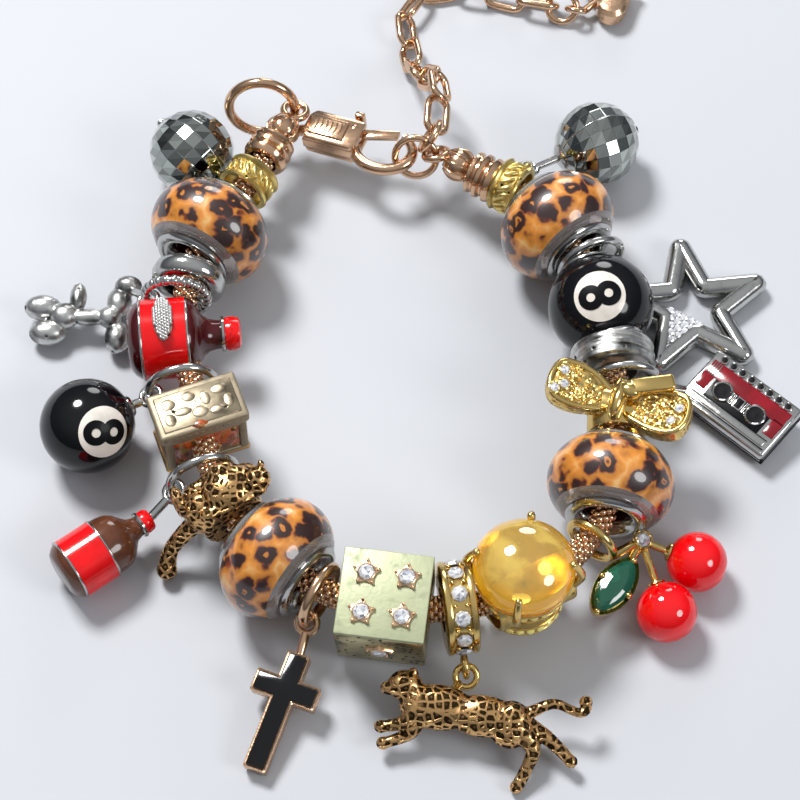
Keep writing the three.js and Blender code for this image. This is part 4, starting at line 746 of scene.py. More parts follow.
# Places. All of them are in mm until a piece is settled.
SHIFT = Vector((-1.0018, -5.9259, 0))  # from the route's origin to the middle of the bracelet
CHAIN_HEIGHT = 7.0
CHAIN_ROUTE = (
    (-14.9, 30.3), (-17.0, 26.1), (-22.1, 17.8), (-24.1, 11.0), (-24.1, 4.2), (-22.0, -7.2),
    (-20.1, -14.1), (-17.2, -19.6), (-12.2, -24.4), (-7.2, -27.9), (-1.0, -29.4), (6.0, -29.4),
    (13.8, -27.2), (19.0, -22.8), (21.9, -18.4), (23.2, -12.6), (23.9, -5.3), (23.8, 0.4),
    (22.9, 7.3), (18.9, 17.8), (14.3, 23.3), (9.1, 26.3),
)
EXTENSION_ROUTE = (
    (2.2, 43.6, 3.4), (1.2, 48.6, 1.5), (0.9, 54.0, 1.4), (3.4, 57.4, 1.4), (8.5, 57.8, 1.4),
    (14.0, 56.4, 1.4), (18.0, 55.4, 1.6),
)
CHERRY_HOOP_AT = 96.9
CHERRY_HOOP = (2.7, 0.5)
EYE = (1.15, 0.36)
BAIL_EYE = (0.95, 0.33)
CAP_EYE = (1.35, 0.45)
HOOP = (3.7, 0.5)
BEADED_BAIL = (3.5, 0.5)
ROSE_BAIL = (3.3, 0.6)
CLASP_RING = (3.9, 0.6)
JUMP_RING = (2.45, 0.42)
SMALL_RING = (1.9, 0.42)
END_RING = (1.8, 0.42)
SPACER_EYE_AT = 6.26
SPACER_TURN = 32
ROPE_EYE_AT = 3.83
PRINT_SHOULDER = 5.05
NUMBER_DISC = 3.0
LIFT = 3.7  # from the chain to the middle of the bow
PIN_AT = (8.25, 0.95)  # of the lever, on the clasp
UPRIGHT = Matrix.Rotation(-math.pi / 2, 4, "Y")  # takes X to up
LINK = {"length": 5.6, "width": 3.4, "wire": 0.45, "roll": 45, "pitch": 4.14}


def spot(name):
    """A piece's own frame."""
    x, y, z, yaw, pitch, roll = FRAMES[name]
    turn = Euler((math.radians(roll), math.radians(pitch), math.radians(yaw)), "XYZ")
    return Matrix.Translation((x, y, z)) @ turn.to_matrix().to_4x4()


def settle(name, place, parts, stands_for=(), body=BRACELET):
    """Joins a piece's parts, puts them in place and makes them ride on their body."""
    obj = joined(*parts)
    place = place if isinstance(place, Matrix) else spot(place)
    put(obj, Matrix.Diagonal((MM, MM, MM, 1)) @ place)
    obj.name = name
    obj.data.name = name
    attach(obj, body)
    if stands_for:
        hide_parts(*stands_for)
    return obj


def bulge(x, half, radius, end_radius):
    """Radius of a bulging bead at a place along it."""
    fall = 1 - (end_radius / radius) ** 2
    return radius * math.sqrt(max(0.0, 1 - fall * (x / half) ** 2))


def on_ring(place, radius, angle):
    """The middle of a ring's wire and the way it runs there. 0 is outward and 90 up."""
    a = math.radians(angle)
    point = place @ Vector((0, -radius * math.cos(a), radius * math.sin(a)))
    way = (place.to_3x3() @ Vector((0, math.sin(a), math.cos(a)))).normalized()
    return point, way


def hang(place, hold, size, stem_to, stem_radius, name):
    """A charm's eye, threaded on the wire that holds it, and the stem from it."""
    point, way = hold
    back = place.inverted()
    eye = put(jump_ring(size[0], size[1], name), back @ turned_to(way, point))
    end = Vector(stem_to)
    along = place @ end - point
    along = (along - way * along.dot(way)).normalized()
    start = back @ (point + along * size[0])
    return [eye, wire([start, (start + end) / 2, end], stem_radius, name)]


def basis(centre, first, second):
    """A ring's frame: its first direction is at angle 0 and its second at 90."""
    y = -first.normalized()
    z = (second - y * second.dot(y)).normalized()
    x = y.cross(z)
    turn = Matrix((x, y, z)).transposed()
    return Matrix.Translation(centre) @ turn.to_4x4()


def threaded(hold, away, offset):
    """The frame of a ring that is threaded on a wire and pulled to one side of it."""
    point, way = hold
    first = (away - way * away.dot(way)).normalized()
    return basis(point + first * offset, first, way.cross(first))


def smooth_route(knots, steps=12):
    """Points on a smooth curve through some places, closer together than those."""
    knots = [Vector(k) for k in knots]
    ends = [2 * knots[0] - knots[1], *knots, 2 * knots[-1] - knots[-2]]
    points = []
    for a, b, c, d in zip(ends, ends[1:], ends[2:], ends[3:]):
        ab, bc, cd = ((b - a).length ** 0.5, (c - b).length ** 0.5, (d - c).length ** 0.5)
        leave = ((b - a) / ab - (c - a) / (ab + bc) + (c - b) / bc) * bc
        reach = ((c - b) / bc - (d - b) / (bc + cd) + (d - c) / cd) * bc
        for i in range(steps):
            t = i / steps
            square = 3 * (c - b) - 2 * leave - reach
            cube = 2 * (b - c) + leave + reach
            points.append(b + leave * t + square * t * t + cube * t ** 3)
    return [*points, knots[-1]]


def along(points, distance):
    """The place at a distance along some points, and the way they run there."""
    for a, b in zip(points, points[1:]):
        step = (b - a).length
        if distance <= step:
            return a + (b - a) * (distance / step), (b - a).normalized()
        distance -= step
    return points[-1], (points[-1] - points[-2]).normalized()


def run_length(points):
    return sum((b - a).length for a, b in zip(points, points[1:]))


def heading(at, way):
    """A frame whose X axis runs along a way and whose Y axis stays level."""
    yaw = math.atan2(way.y, way.x)
    pitch = -math.asin(max(-1.0, min(1.0, way.z)))
    return Matrix.Translation(at) @ Euler((0, pitch, yaw), "XYZ").to_matrix().to_4x4()


def chain_line():
    return smooth_route([(x + SHIFT.x, y + SHIFT.y, CHAIN_HEIGHT) for x, y in CHAIN_ROUTE])


def about_x(angle, x=0.0, y=0.0, z=0.0):
    """Turned about the chain by an angle, and then moved."""
    return Matrix.Translation((x, y, z)) @ Matrix.Rotation(math.radians(angle), 4, "X")


def round_places(count, radius, x=0.0, first=0.0, spread_over=360.0):
    """Places round the X axis with the way outward at each, from -Y."""
    places = []
    for i in range(count):
        a = math.radians(first + spread_over * i / count)
        out = Vector((0, -math.cos(a), math.sin(a)))
        places.append((Vector((x, 0, 0)) + out * radius, out))
    return places


def star_points(radius, inner, first=90.0):
    points = []
    for i in range(10):
        a = math.radians(first + 36 * i)
        r = radius * (inner if i % 2 else 1)
        points.append((r * math.cos(a), r * math.sin(a)))
    return points


def zone(radius, first, last, name, sides=40):
    """A thin skin of a ball about X, between two distances from its middle."""
    steps = 10
    profile = []
    for i in range(steps + 1):
        a = (first + (last - first) * i / steps) / radius
        profile.append((radius * math.cos(a), radius * math.sin(a)))
    deep = radius - 0.3
    profile.append((deep * math.cos(last / radius), deep * math.sin(last / radius)))
    if first:
        profile.append((deep * math.cos(first / radius), deep * math.sin(first / radius)))
        profile.append(profile[0])
    return turned(profile, name, sides, 30)


def number_disc(radius, facing, across, disc=NUMBER_DISC):
    """A white disc with a black 8 on it, that lies on a ball and faces one way."""
    facing = Vector(facing).normalized()
    across = Vector(across)
    across = (across - facing * across.dot(facing)).normalized()
    parts = [put(zone(radius + 0.08, 0, disc, "white"), turned_to(facing))]
    lobe = 0.48 * disc
    for side in (-1, 1):
        way = facing + across * (side * 0.345 * disc / radius)
        parts.append(put(zone(radius + 0.13, 0.17 * disc, lobe, "ink", 28), turned_to(way)))
    return parts


def round_ball(radius, name, sides=48, half_length=None):
    """A smooth ball about X, or the middle of one."""
    half_length = half_length or radius
    profile = []
    for i in range(25):
        x = -half_length + 2 * half_length * i / 24
        profile.append((x, math.sqrt(max(0.0, radius * radius - x * x))))
    if half_length < radius:
        profile = [(-half_length, 0), *profile, (half_length, 0)]
    return turned(profile, name, sides)


def flat_ring(outer, inner, half, name, round_off=0.25, sides=44):
    """A turned ring about X with rounded edges."""
    profile = [
        (-half, inner), (-half, outer - round_off), (-half + round_off * 0.4, outer - round_off * 0.3),
        (-half + round_off, outer), (half - round_off, outer),
        (half - round_off * 0.4, outer - round_off * 0.3),
        (half, outer - round_off), (half, inner), (-half, inner),
    ]
    return turned(profile, name, sides)


def facet_ball(radius, name, around=20, rows=11):
    """A ball of flat square facets in rows about X, with a fine seam between them."""
    fresh()
    bpy.ops.mesh.primitive_uv_sphere_add(
        segments=around, ring_count=rows, radius=radius, rotation=(0, math.pi / 2, 0)
    )
    apply_place()
    obj = bpy.context.object
    edges = obj.modifiers.new("seams", "BEVEL")
    edges.width = 0.045
    edges.segments = 1
    edges.angle_limit = math.radians(6)
    bpy.ops.object.modifier_apply(modifier=edges.name)
    return coat(obj, name, 0)


def ruffled(part, amount, seed):
    """Moves each vertex a little, as hand-cast metal is never quite even."""
    choose(part)
    open_mesh("VERT")
    bpy.ops.transform.vertex_random(offset=amount, seed=seed)
    bpy.ops.object.mode_set(mode="OBJECT")
    return part


def wrapped(part, radius):
    """Bends a part that lies flat above the X axis down round a cylinder about Y."""
    choose(part)
    open_mesh("VERT")
    mesh = bmesh.from_edit_mesh(part.data)
    for corner in mesh.verts:
        a = corner.co.x / radius
        r = radius + corner.co.z
        corner.co = (r * math.sin(a), corner.co.y, r * math.cos(a))
    bmesh.update_edit_mesh(part.data)
    bpy.ops.object.mode_set(mode="OBJECT")
    return part


# The pieces. Each one is an operator, as is the stage.
class MakePrintedBeads(bpy.types.Operator):
    """Four clear beads over a spotted print, each between two silver rims"""

    bl_idname = "bracelet.printed_beads"
    bl_label = "Printed beads"

    def execute(self, context):
        radius = sizes().bead_radius / MM
        half = sizes().bead_length / MM / 2
        shoulder = half * 0.8
        edge = half * 0.70
        for number in (1, 2, 3, 4):
            steps = [edge * (i / 8 - 1) for i in range(17)]
            band = [(x, bulge(x, shoulder, radius, PRINT_SHOULDER)) for x in steps]
            parts = [turned(band, "leopard%d" % number, 56)]
            reach = half - 1.5
            inside = [(-reach, 2.5), (-reach, 2.7), (reach, 2.7), (reach, 2.5), (-reach, 2.5)]
            parts.append(turned(inside, "maroon", 40))
            for side in (-1, 1):
                end = [(side * x, r) for x, r in (
                    (edge, bulge(edge, shoulder, radius, PRINT_SHOULDER)),
                    (shoulder * 0.93, bulge(shoulder * 0.93, shoulder, radius, PRINT_SHOULDER)),
                    (shoulder, 5.0), (shoulder + 0.12, 4.6), (shoulder + 0.1, 4.0),
                )]
                parts.append(turned(end, "clear_end", 56))
                lip = [(side * x, r) for x, r in (
                    (half - 1.0, 3.7), (half - 0.85, 4.3), (half - 0.45, 4.45), (half - 0.1, 4.15),
                    (half, 3.7), (half - 0.1, 3.3), (half - 0.5, 2.8), (half - 1.6, 2.55),
                    (half - 1.6, 3.0), (half - 1.0, 3.7),
                )]
                parts.append(turned(lip, "silver", 56))
            nodes = ("leopard_core_%d" % number, "leopard_bead_%d" % number)
            settle("print_bead_%d" % number, "leopard_%d" % number, parts, nodes)
        return {"FINISHED"}


class MakeStoppers(bpy.types.Operator):
    """A domed silver stopper ring and a grooved one"""

    bl_idname = "bracelet.stoppers"
    bl_label = "Stopper rings"

    def execute(self, context):
        dome = [(-1.3, 2.5), (-1.3, 3.2), (-1.12, 3.75), (-0.75, 4.12), (0, 4.3)]
        profile = dome + [(-x, r) for x, r in reversed(dome[:-1])] + [dome[0]]
        parts = [turned(profile, "silver", 56)]
        settle("stopper_dome", "stopper_1", parts, ["stopper_ring_1"])
        ridges = [(-1.6, 2.5), (-1.6, 4.1)]
        for x in (-1.05, 0.0, 1.05):
            ridges += [(x - 0.42, 4.4), (x - 0.3, 4.62), (x, 4.7), (x + 0.3, 4.62), (x + 0.42, 4.4)]
        ridges += [(1.6, 4.1), (1.6, 2.5), (-1.6, 2.5)]
        parts = [turned(ridges, "antique_silver", 56)]
        settle("stopper_grooved", "stopper_2", parts, ["stopper_ring_2"])
        return {"FINISHED"}


class MakeSilverAnimal(bpy.types.Operator):
    """A silver animal of round lobes on its beaded ring"""

    bl_idname = "bracelet.silver_animal"
    bl_label = "Silver animal"

    def execute(self, context):
        bail = spot("animal_bail")
        bead = lump((0, 0, 0), 0.62, "silver", segments=10, rings=6)
        beads = studs(round_places(24, BEADED_BAIL[0]), bead)
        ring = jump_ring(*BEADED_BAIL, "silver")
        settle("animal_ring", bail, [ring, beads], ["animal_bail"])
        lobes = [
            ((-5.2, 1.5, -0.2), (2.2, 1.5, 1.5)), ((-4.5, -1.6, -0.7), (2.2, 1.5, 1.5)),
            ((-2.6, 0.2, 0.1), (1.7, 1.6, 1.4)), ((-1.1, 2.4, 0.6), (1.0, 1.9, 1.0)),
            ((0.2, -0.1, 0.3), (2.6, 0.95, 0.95)), ((2.6, -0.1, 0.3), (1.4, 1.3, 1.3)),
            ((3.6, 1.9, 0.2), (1.5, 1.9, 1.5)), ((3.5, -2.3, -0.6), (1.5, 2.0, 1.5)),
            ((4.6, 3.7, 1.0), (1.6, 1.2, 1.2)),
        ]
        body = melted([lump(at, radii, "silver") for at, radii in lobes], 0.12, "antique_silver", 3)
        place = spot("silver_animal")
        hold = on_ring(bail, BEADED_BAIL[0], -20)
        parts = [body, *hang(place, hold, EYE, (4.9, 3.2, 1.2), 0.5, "silver")]
        settle("round_animal", place, parts, ["silver_animal"])
        return {"FINISHED"}


class MakeBottleBead(bpy.types.Operator):
    """A red bottle that the chain passes through, with a plaque on its label"""

    bl_idname = "bracelet.bottle_bead"
    bl_label = "Bottle bead"

    def execute(self, context):
        base = [(-6.3, 0), (-6.3, 2.9), (-6.15, 3.4), (-5.7, 3.95), (-5.2, 4.3), (-4.9, 4.42), (-4.8, 4.42)]
        label = [(-4.8, 4.42), (-4.7, 4.55), (0.3, 4.55), (0.4, 4.42)]
        neck = [
            (0.4, 4.42), (0.8, 4.3), (1.2, 3.9), (1.6, 3.1), (2.1, 2.3), (2.7, 1.85), (3.4, 1.68), (4.3, 1.6),
        ]
        cap = [(4.3, 1.6), (4.44, 1.75), (4.6, 1.84), (5.7, 1.84), (6.1, 1.7), (6.3, 1.3), (6.3, 0)]
        parts = [turned(base, "maroon", 48), turned(label, "red", 48), turned(neck, "maroon", 48)]
        parts.append(turned(cap, "red", 40))
        for x, radius in ((-4.8, 4.48), (0.4, 4.48)):
            parts.append(wire(arc(radius, count=40, x=x)[:-1], 0.16, "silver", closed=True))
        collar = [(4.05, 1.6), (4.05, 1.95), (4.2, 2.05), (4.45, 2.0), (4.45, 1.6), (4.05, 1.6)]
        parts.append(turned(collar, "silver", 40))
        lines = round_places(16, 1.86, x=5.2)
        rib = block((0, 0, 0), (0.08, 0.9, 0.12), "red", 0.03)
        parts.append(spread(rib, [turned_to(way, at) for at, way in lines]))
        bottle = joined(*parts)
        put(bottle, Matrix.Rotation(math.pi / 2, 4, "Z"))
        pebbles = []
        random.seed(5)
        for i in range(15):
            for j in range(-3, 4):
                x, y = -2.5 + i * 0.36 + (j % 2) * 0.18, j * 0.3
                if (x / 2.55) ** 2 + (y / 0.98) ** 2 < 1:
                    pebbles.append(Matrix.Translation((x, y, 0.32 + random.uniform(-0.03, 0.03))))
        pebble = lump((0, 0, 0.1), 0.26, "silver", segments=8, rings=5)
        turns = [i / 20 * math.pi for i in range(40)]
        plate_points = [(2.75 * math.cos(a), 1.15 * math.sin(a)) for a in turns]
        plaque = outline_plate(plate_points, 0.5, "pave_ground", 0.12)
        choose(plaque)
        open_mesh()
        bpy.ops.mesh.subdivide(number_cuts=3)
        bpy.ops.object.mode_set(mode="OBJECT")
        medal = wrapped(joined(plaque, spread(pebble, pebbles)), 4.6)
        put(medal, Matrix.Translation((0, -2.2, 0)))
        settle("red_bottle", "bottle_bead", [bottle, medal], ["bottle_bead"])
        return {"FINISHED"}


class MakeHoops(bpy.types.Operator):
    """The plain silver rings that charms hang from"""

    bl_idname = "bracelet.hoops"
    bl_label = "Silver hoops"

    def execute(self, context):
        for node, place, split in (
            ("hoop_1", "hoop_1", 230), ("hoop_2", "hoop_2", 220),
            ("star_bail", "star_bail", 240), ("tape_bail", "tape_bail", 225),
        ):
            ring = jump_ring(HOOP[0], HOOP[1], "silver", split)
            settle("ring_of_" + node, place, [ring], [node])
        return {"FINISHED"}


class MakeBallCharm(bpy.types.Operator):
    """A black number ball on its hoop"""

    bl_idname = "bracelet.ball_charm"
    bl_label = "Hanging number ball"

    def execute(self, context):
        radius = sizes().ball_charm_radius / MM
        place = spot("ball_charm")
        hold = on_ring(spot("hoop_1"), HOOP[0], -18)
        parts = [round_ball(radius, "black")]
        parts += number_disc(radius, (0.625, -0.353, 0.696), (0.94, 0.34, 0))
        up = (place.inverted() @ hold[0]).normalized()
        collar = turned([(-0.2, 1.25), (0.0, 1.3), (0.25, 1.1), (0.4, 0.7), (0.4, 0)], "silver", 24)
        parts.append(put(collar, turned_to(up, up * (radius - 0.1))))
        parts += hang(place, hold, EYE, up * (radius * 0.95), 0.5, "silver")
        settle("number_ball", place, parts, ["eight_ball_charm"])
        return {"FINISHED"}


class MakeBallBead(bpy.types.Operator):
    """A black number ball on the chain, with a thin silver ring at each end"""

    bl_idname = "bracelet.ball_bead"
    bl_label = "Number bead"

    def execute(self, context):
        radius = sizes().ball_bead_radius / MM
        parts = [round_ball(radius, "black", half_length=5.1)]
        parts += number_disc(radius, (-0.308, 0.18, 0.934), (-0.047, -0.991, 0.125))
        for side in (-1, 1):
            ring = flat_ring(3.35, 2.45, 0.3, "silver", 0.15)
            parts.append(put(ring, Matrix.Translation((side * 5.05, 0, 0))))
        settle("number_bead", "ball_bead", parts, ["eight_ball_bead"])
        return {"FINISHED"}


class MakeBox(bpy.types.Operator):
    """A lidded box of cream gold with an amber front"""

    bl_idname = "bracelet.box"
    bl_label = "Box bead"

    def execute(self, context):
        parts = [block((0, 0, -0.5), (5.1, 9.3, 6.4), "bronze", 0.2)]
        parts.append(block((0, 0, 3.15), (5.9, 10.1, 1.6), "cream", 0.35, segments=3))
        parts.append(block((0, 0, 3.9), (4.6, 8.8, 0.3), "cream_old", 0.12))
        parts.append(block((0, 0, -3.6), (5.5, 9.7, 0.8), "bronze", 0.25))
        parts.append(block((2.45, 0, -0.45), (0.35, 7.6, 4.6), "amber", 0.12))
        for y in (-4.2, 4.2):
            parts.append(block((2.6, y, -0.45), (0.45, 0.9, 5.4), "cream", 0.15))
        for z in (2.1, -3.0):
            parts.append(block((2.6, 0, z), (0.4, 8.6, 0.5), "cream", 0.12))
        for y in (-2.5, 0, 2.5):
            parts.append(lump((2.6, y, -0.45), (0.25, 1.05, 1.9), "amber", segments=14, rings=8))
        for y, z in ((-1.3, 0.9), (1.2, -1.5), (-3.1, -2.2), (3.2, 1.2)):
            parts.append(lump((2.62, y, z), (0.22, 0.45, 0.4), "bronze", segments=10, rings=6))
        parts.append(lump((2.2, -0.4, 3.75), (0.7, 1.2, 0.35), "amber", segments=14, rings=8))
        for x, y, long, wide in (
            (-1.0, -3.0, 0.8, 0.9), (0.9, -3.3, 0.9, 0.7), (0.3, -1.7, 0.6, 1.1), (-1.3, -0.6, 0.7, 0.8),
            (0.9, 0.1, 0.8, 1.0), (-0.6, 1.1, 1.0, 0.6), (1.2, 1.9, 0.6, 0.9), (-1.2, 2.8, 0.7, 1.0),
            (0.5, 3.4, 1.0, 0.6),
        ):
            parts.append(lump((x, y, 4.0), (long, wide, 0.13), "cream_old", segments=14, rings=8))
        for i in range(12):
            parts.append(block((2.93, 0.75 * (i - 5.5), 3.2), (0.14, 0.42, 0.2), "cream_old", 0.05))
        settle("lidded_box", "box_bead", parts, ["box_bead"])
        return {"FINISHED"}


class MakeBottleCharm(bpy.types.Operator):
    """A brown bottle hanging from the second hoop"""

    bl_idname = "bracelet.bottle_charm"
    bl_label = "Hanging bottle"

    def execute(self, context):
        base = [(-5.8, 0), (-5.8, 2.1), (-5.65, 2.6), (-5.2, 3.05), (-4.8, 3.3), (-4.64, 3.36)]
        label = [(-4.64, 3.36), (-4.56, 3.48), (-0.5, 3.48), (-0.42, 3.36)]
        neck = [
            (-0.42, 3.36), (0.6, 3.3), (1.5, 3.1), (2.2, 2.65), (2.8, 1.95), (3.3, 1.4), (4.0, 1.15),
            (4.5, 1.1),
        ]
        cap = [(4.5, 1.1), (4.5, 1.25), (4.65, 1.32), (5.5, 1.3), (5.75, 1.1), (5.8, 0.8), (5.8, 0)]
        parts = [turned(base, "brown", 44), turned(label, "red", 44), turned(neck, "brown", 44)]
        parts.append(turned(cap, "red", 36))
        collar = [(4.2, 1.1), (4.2, 1.4), (4.35, 1.5), (4.6, 1.45), (4.6, 1.1), (4.2, 1.1)]
        parts.append(turned(collar, "silver", 36))
        for x in (-4.64, -0.42):
            parts.append(wire(arc(3.42, count=36, x=x)[:-1], 0.14, "silver", closed=True))
        place = spot("bottle_charm")
        hold = on_ring(spot("hoop_2"), HOOP[0], -25)
        parts += hang(place, hold, EYE, (5.6, 0, 0), 0.5, "silver")
        settle("brown_bottle", place, parts, ["bottle_charm"])
        return {"FINISHED"}


class MakeCatBead(bpy.types.Operator):
    """A spotted cat curled round the chain, its tail hanging down"""

    bl_idname = "bracelet.cat_bead"
    bl_label = "Curled cat"

    def execute(self, context):
        profile = [(-2.7, 0), (-2.7, 3.4), (-2.4, 3.6), (2.4, 3.6), (2.7, 3.4), (2.7, 0)]
        sleeve = turned(profile, "cat_gold", 32)
        lumps = [
            ((0, 0.6, 3.2), (2.65, 3.1, 1.9)), ((-0.6, 2.9, 1.6), (2.1, 1.9, 2.1)),
            ((0, -2.9, 0.6), (2.4, 2.0, 2.9)), ((0.2, 0.2, -3.2), (2.5, 2.7, 1.3)),
            ((0.9, 3.5, 4.1), (1.45, 1.5, 1.4)), ((2.0, 3.3, 3.9), (0.75, 0.7, 0.6)),
            ((1.3, 4.4, 5.0), (0.5, 0.35, 0.55)), ((-0.1, 4.5, 5.0), (0.5, 0.35, 0.55)),
            ((-1.7, 0.4, 4.4), (0.9, 1.5, 0.8)), ((1.8, -1.9, 2.9), (0.8, 1.9, 0.8)),
            ((-1.9, -2.3, 2.2), (0.8, 1.7, 1.0)), ((2.1, 1.6, 3.6), (0.6, 1.6, 0.6)),
        ]
        parts = [sleeve] + [lump(at, radii, "cat_gold") for at, radii in lumps]
        parts.append(wire([(0.2, -3.4, -0.6, 1.2), (0.2, -4.6, -1.5, 1.05), (0.2, -5.6, -2.4, 0.95),
                           (0.4, -7.4, -4.2, 0.85), (1.6, -8.2, -5.4, 1.1)], 1.0, "cat_gold"))
        curl = wire([(-1.2 + 1.35 * math.cos(a), -4.9, 2.6 + 1.35 * math.sin(a))
                     for a in [2 * math.pi * i / 16 for i in range(16)]], 0.5, "cat_gold", closed=True)
        tip = lump((1.7, -8.25, -5.45), 1.15, "cat_gold")
        cat = melted([*parts, curl, tip], 0.16, "cat_gold", 3)
        settle("curled_cat", "cat_bead", [cat], ["cat_bead"])
        return {"FINISHED"}


class MakeCross(bpy.types.Operator):
    """A flat cross with a black inlay, and the rose gold ring it hangs from"""

    bl_idname = "bracelet.cross"
    bl_label = "Cross"

    @staticmethod
    def outline(width, trim):
        arm, length, span = 4.09, 13.2, 7.2
        half = width / 2
        return [
            (trim, -half), (arm - half, -half), (arm - half, trim - span / 2), (arm + half, trim - span / 2),
            (arm + half, -half), (length - trim, -half), (length - trim, half), (arm + half, half),
            (arm + half, span / 2 - trim), (arm - half, span / 2 - trim), (arm - half, half), (trim, half),
        ]

    def execute(self, context):
        bail = spot("cross_bail")
        settle("cross_ring", bail, [jump_ring(*ROSE_BAIL, "rose_gold")], ["cross_bail"])
        place = spot("cross_charm")
        hold = on_ring(bail, ROSE_BAIL[0], -38)
        body = outline_plate(self.outline(2.5, 0), 1.9, "rose_cast", 0.16, inner=(0.32, 0.3))
        inlay = outline_plate(self.outline(1.9, 0.3), 0.3, "black", 0.08)
        put(inlay, Matrix.Translation((0, 0, 0.72)))
        parts = [body, inlay, *hang(place, hold, EYE, (0.4, 0, 0), 0.5, "rose_gold")]
        settle("cross", place, parts, ["cross_charm", "cross_inlay"])
        return {"FINISHED"}


class MakeCube(bpy.types.Operator):
    """A mint cube with clear stones set in small stars"""

    bl_idname = "bracelet.cube"
    bl_label = "Cube with stars"

    def execute(self, context):
        side = sizes().dice_side / MM
        half = side / 2
        cube = ruffled(block((0, 0, -0.3), (side, side, side - 0.6), "olive_old", 0.25, segments=3), 0.02, 3)
        lid = ruffled(block((0, 0, half - 0.28), (side, side, 0.56), "mint", 0.12, segments=3), 0.015, 4)
        star = outline_plate(star_points(1.6, 0.6), 0.5, "rose_old", 0.08)
        bezel = put(turned([(0, 0.98), (0.3, 0.98), (0.36, 0.86), (0.2, 0.8)], "rose_old", 28),
                    UPRIGHT)
        stone = put(gem(0.88), Matrix.Translation((0, 0, 0.28)) @ UPRIGHT)
        tip = lump((0, 0, 0), 0.19, "rose_old", segments=8, rings=6)
        tips = spread(tip, [Matrix.Translation((x, y, 0.28)) for x, y in star_points(1.3, 0.6)[::2]])
        setting = joined(star, bezel, stone, tips)
        places = [Matrix.Translation((x * 2.15, y * 2.15, half)) for x in (-1, 1) for y in (-1, 1)]
        for turn in (90, -90):
            places.append(Matrix.Rotation(math.radians(turn), 4, "X") @ Matrix.Translation((0, 0, half)))
        parts = [cube, lid, spread(setting, places)]
        settle("star_cube", "dice_bead", parts, ["dice_bead"])
        return {"FINISHED"}


class MakeSpacer(bpy.types.Operator):
    """A gold wheel with a row of clear stones and an eye"""

    bl_idname = "bracelet.spacer"
    bl_label = "Stone wheel"

    def execute(self, context):
        profile = [
            (-1.7, 2.5), (-1.7, 4.8), (-1.55, 5.0), (-1.25, 5.05), (-1.0, 4.95), (-0.9, 4.55),
            (0.9, 4.55), (1.0, 4.95), (1.25, 5.05), (1.55, 5.0), (1.7, 4.8), (1.7, 2.5), (-1.7, 2.5),
        ]
        parts = [turned(profile, "yellow_gold", 56)]
        bead = lump((0, 0, 0), 0.24, "yellow_gold", segments=8, rings=6)
        stones = round_places(11, 4.72, first=180 / 11)
        parts.append(studs(stones, gem(0.9)))
        pins = [place for x in (-0.62, 0.62) for place in round_places(11, 4.78, x=x)]
        parts.append(studs(pins, bead))
        eye_place = about_x(SPACER_TURN) @ Matrix.Translation((0, -SPACER_EYE_AT, 0))
        parts.append(put(jump_ring(*EYE, "yellow_gold"), eye_place))
        settle("stone_wheel", "spacer", parts, ["crystal_spacer"])
        return {"FINISHED"}


class MakeRunningCat(bpy.types.Operator):
    """A running spotted cat below the stone wheel"""

    bl_idname = "bracelet.running_cat"
    bl_label = "Running cat"

    def execute(self, context):
        finish_name = "runner_gold"
        lumps = [
            ((-1.4, -0.75, 0), (4.1, 2.45, 1.7)), ((3.4, -1.15, 0), (3.7, 2.25, 1.6)),
            ((6.4, -1.7, 0), (2.4, 2.55, 1.55)), ((-5.0, 1.15, 0.2), (1.9, 1.65, 1.45)),
            ((-3.5, -0.5, 0.1), (1.9, 2.15, 1.55)),
            ((-6.5, 0.7, 0.3), (1.1, 0.8, 0.8)), ((-4.3, 2.6, 0.7), (0.5, 0.5, 0.3)),
            ((-4.2, 2.4, -0.6), (0.5, 0.5, 0.3)), ((-2.9, -0.8, 0.8), (1.3, 1.7, 0.9)),
            ((6.6, -1.3, 0.8), (1.6, 1.9, 0.9)), ((-7.0, 0.45, 0.4), (0.5, 0.45, 0.45)),
        ]
        limbs = [
            [(-3.4, -0.9, 0.6, 1.15), (-4.1, -2.0, 0.6, 0.95), (-4.7, -2.9, 0.5, 0.75),
             (-6.9, -3.4, 0.2, 0.6)],
            [(-2.6, -1.2, -0.5, 1.1), (-3.4, -2.8, -0.4, 0.9), (-4.1, -4.1, -0.4, 0.7),
             (-6.4, -5.0, -0.4, 0.6)],
            [(7.0, -2.0, 0.4, 1.5), (9.3, -3.4, 0.2, 0.9), (8.8, -5.6, -0.1, 0.65), (7.8, -8.0, -0.5, 0.7)],
            [(7.2, -1.4, -0.4, 1.4), (9.0, -2.0, -0.4, 1.0), (10.8, -2.8, -0.4, 0.75),
             (12.9, -4.6, -0.6, 0.65)],
            [(8.0, -0.4, 0, 0.7), (9.6, 0.6, 0, 0.6), (10.9, 1.1, 0, 0.55), (12.6, 0.5, 0, 0.5),
             (13.7, 0.2, 0, 0.5), (14.4, 0.9, 0, 0.5), (14.0, 1.6, 0, 0.5)],
        ]
        parts = [lump(at, radii, finish_name) for at, radii in lumps]
        parts += [wire(points, 1.0, finish_name) for points in limbs]
        feet = ((-7.1, -3.4, 0.2), (-6.7, -5.1, -0.4), (7.7, -8.1, -0.5), (13.1, -4.8, -0.6), (14.0, 1.5, 0))
        parts += [lump(at, 0.72, finish_name) for at in feet]
        cat = melted(parts, 0.14, finish_name, 3)
        eye_frame = spot("spacer") @ about_x(SPACER_TURN) @ Matrix.Translation((0, -SPACER_EYE_AT, 0))
        place = spot("running_cat")
        hold = on_ring(eye_frame, EYE[0], 0)
        parts = [cat, *hang(place, hold, EYE, (0, 0.8, 0), 0.5, "yellow_gold")]
        settle("running_cat", place, parts, ["running_cat_charm"])
        return {"FINISHED"}


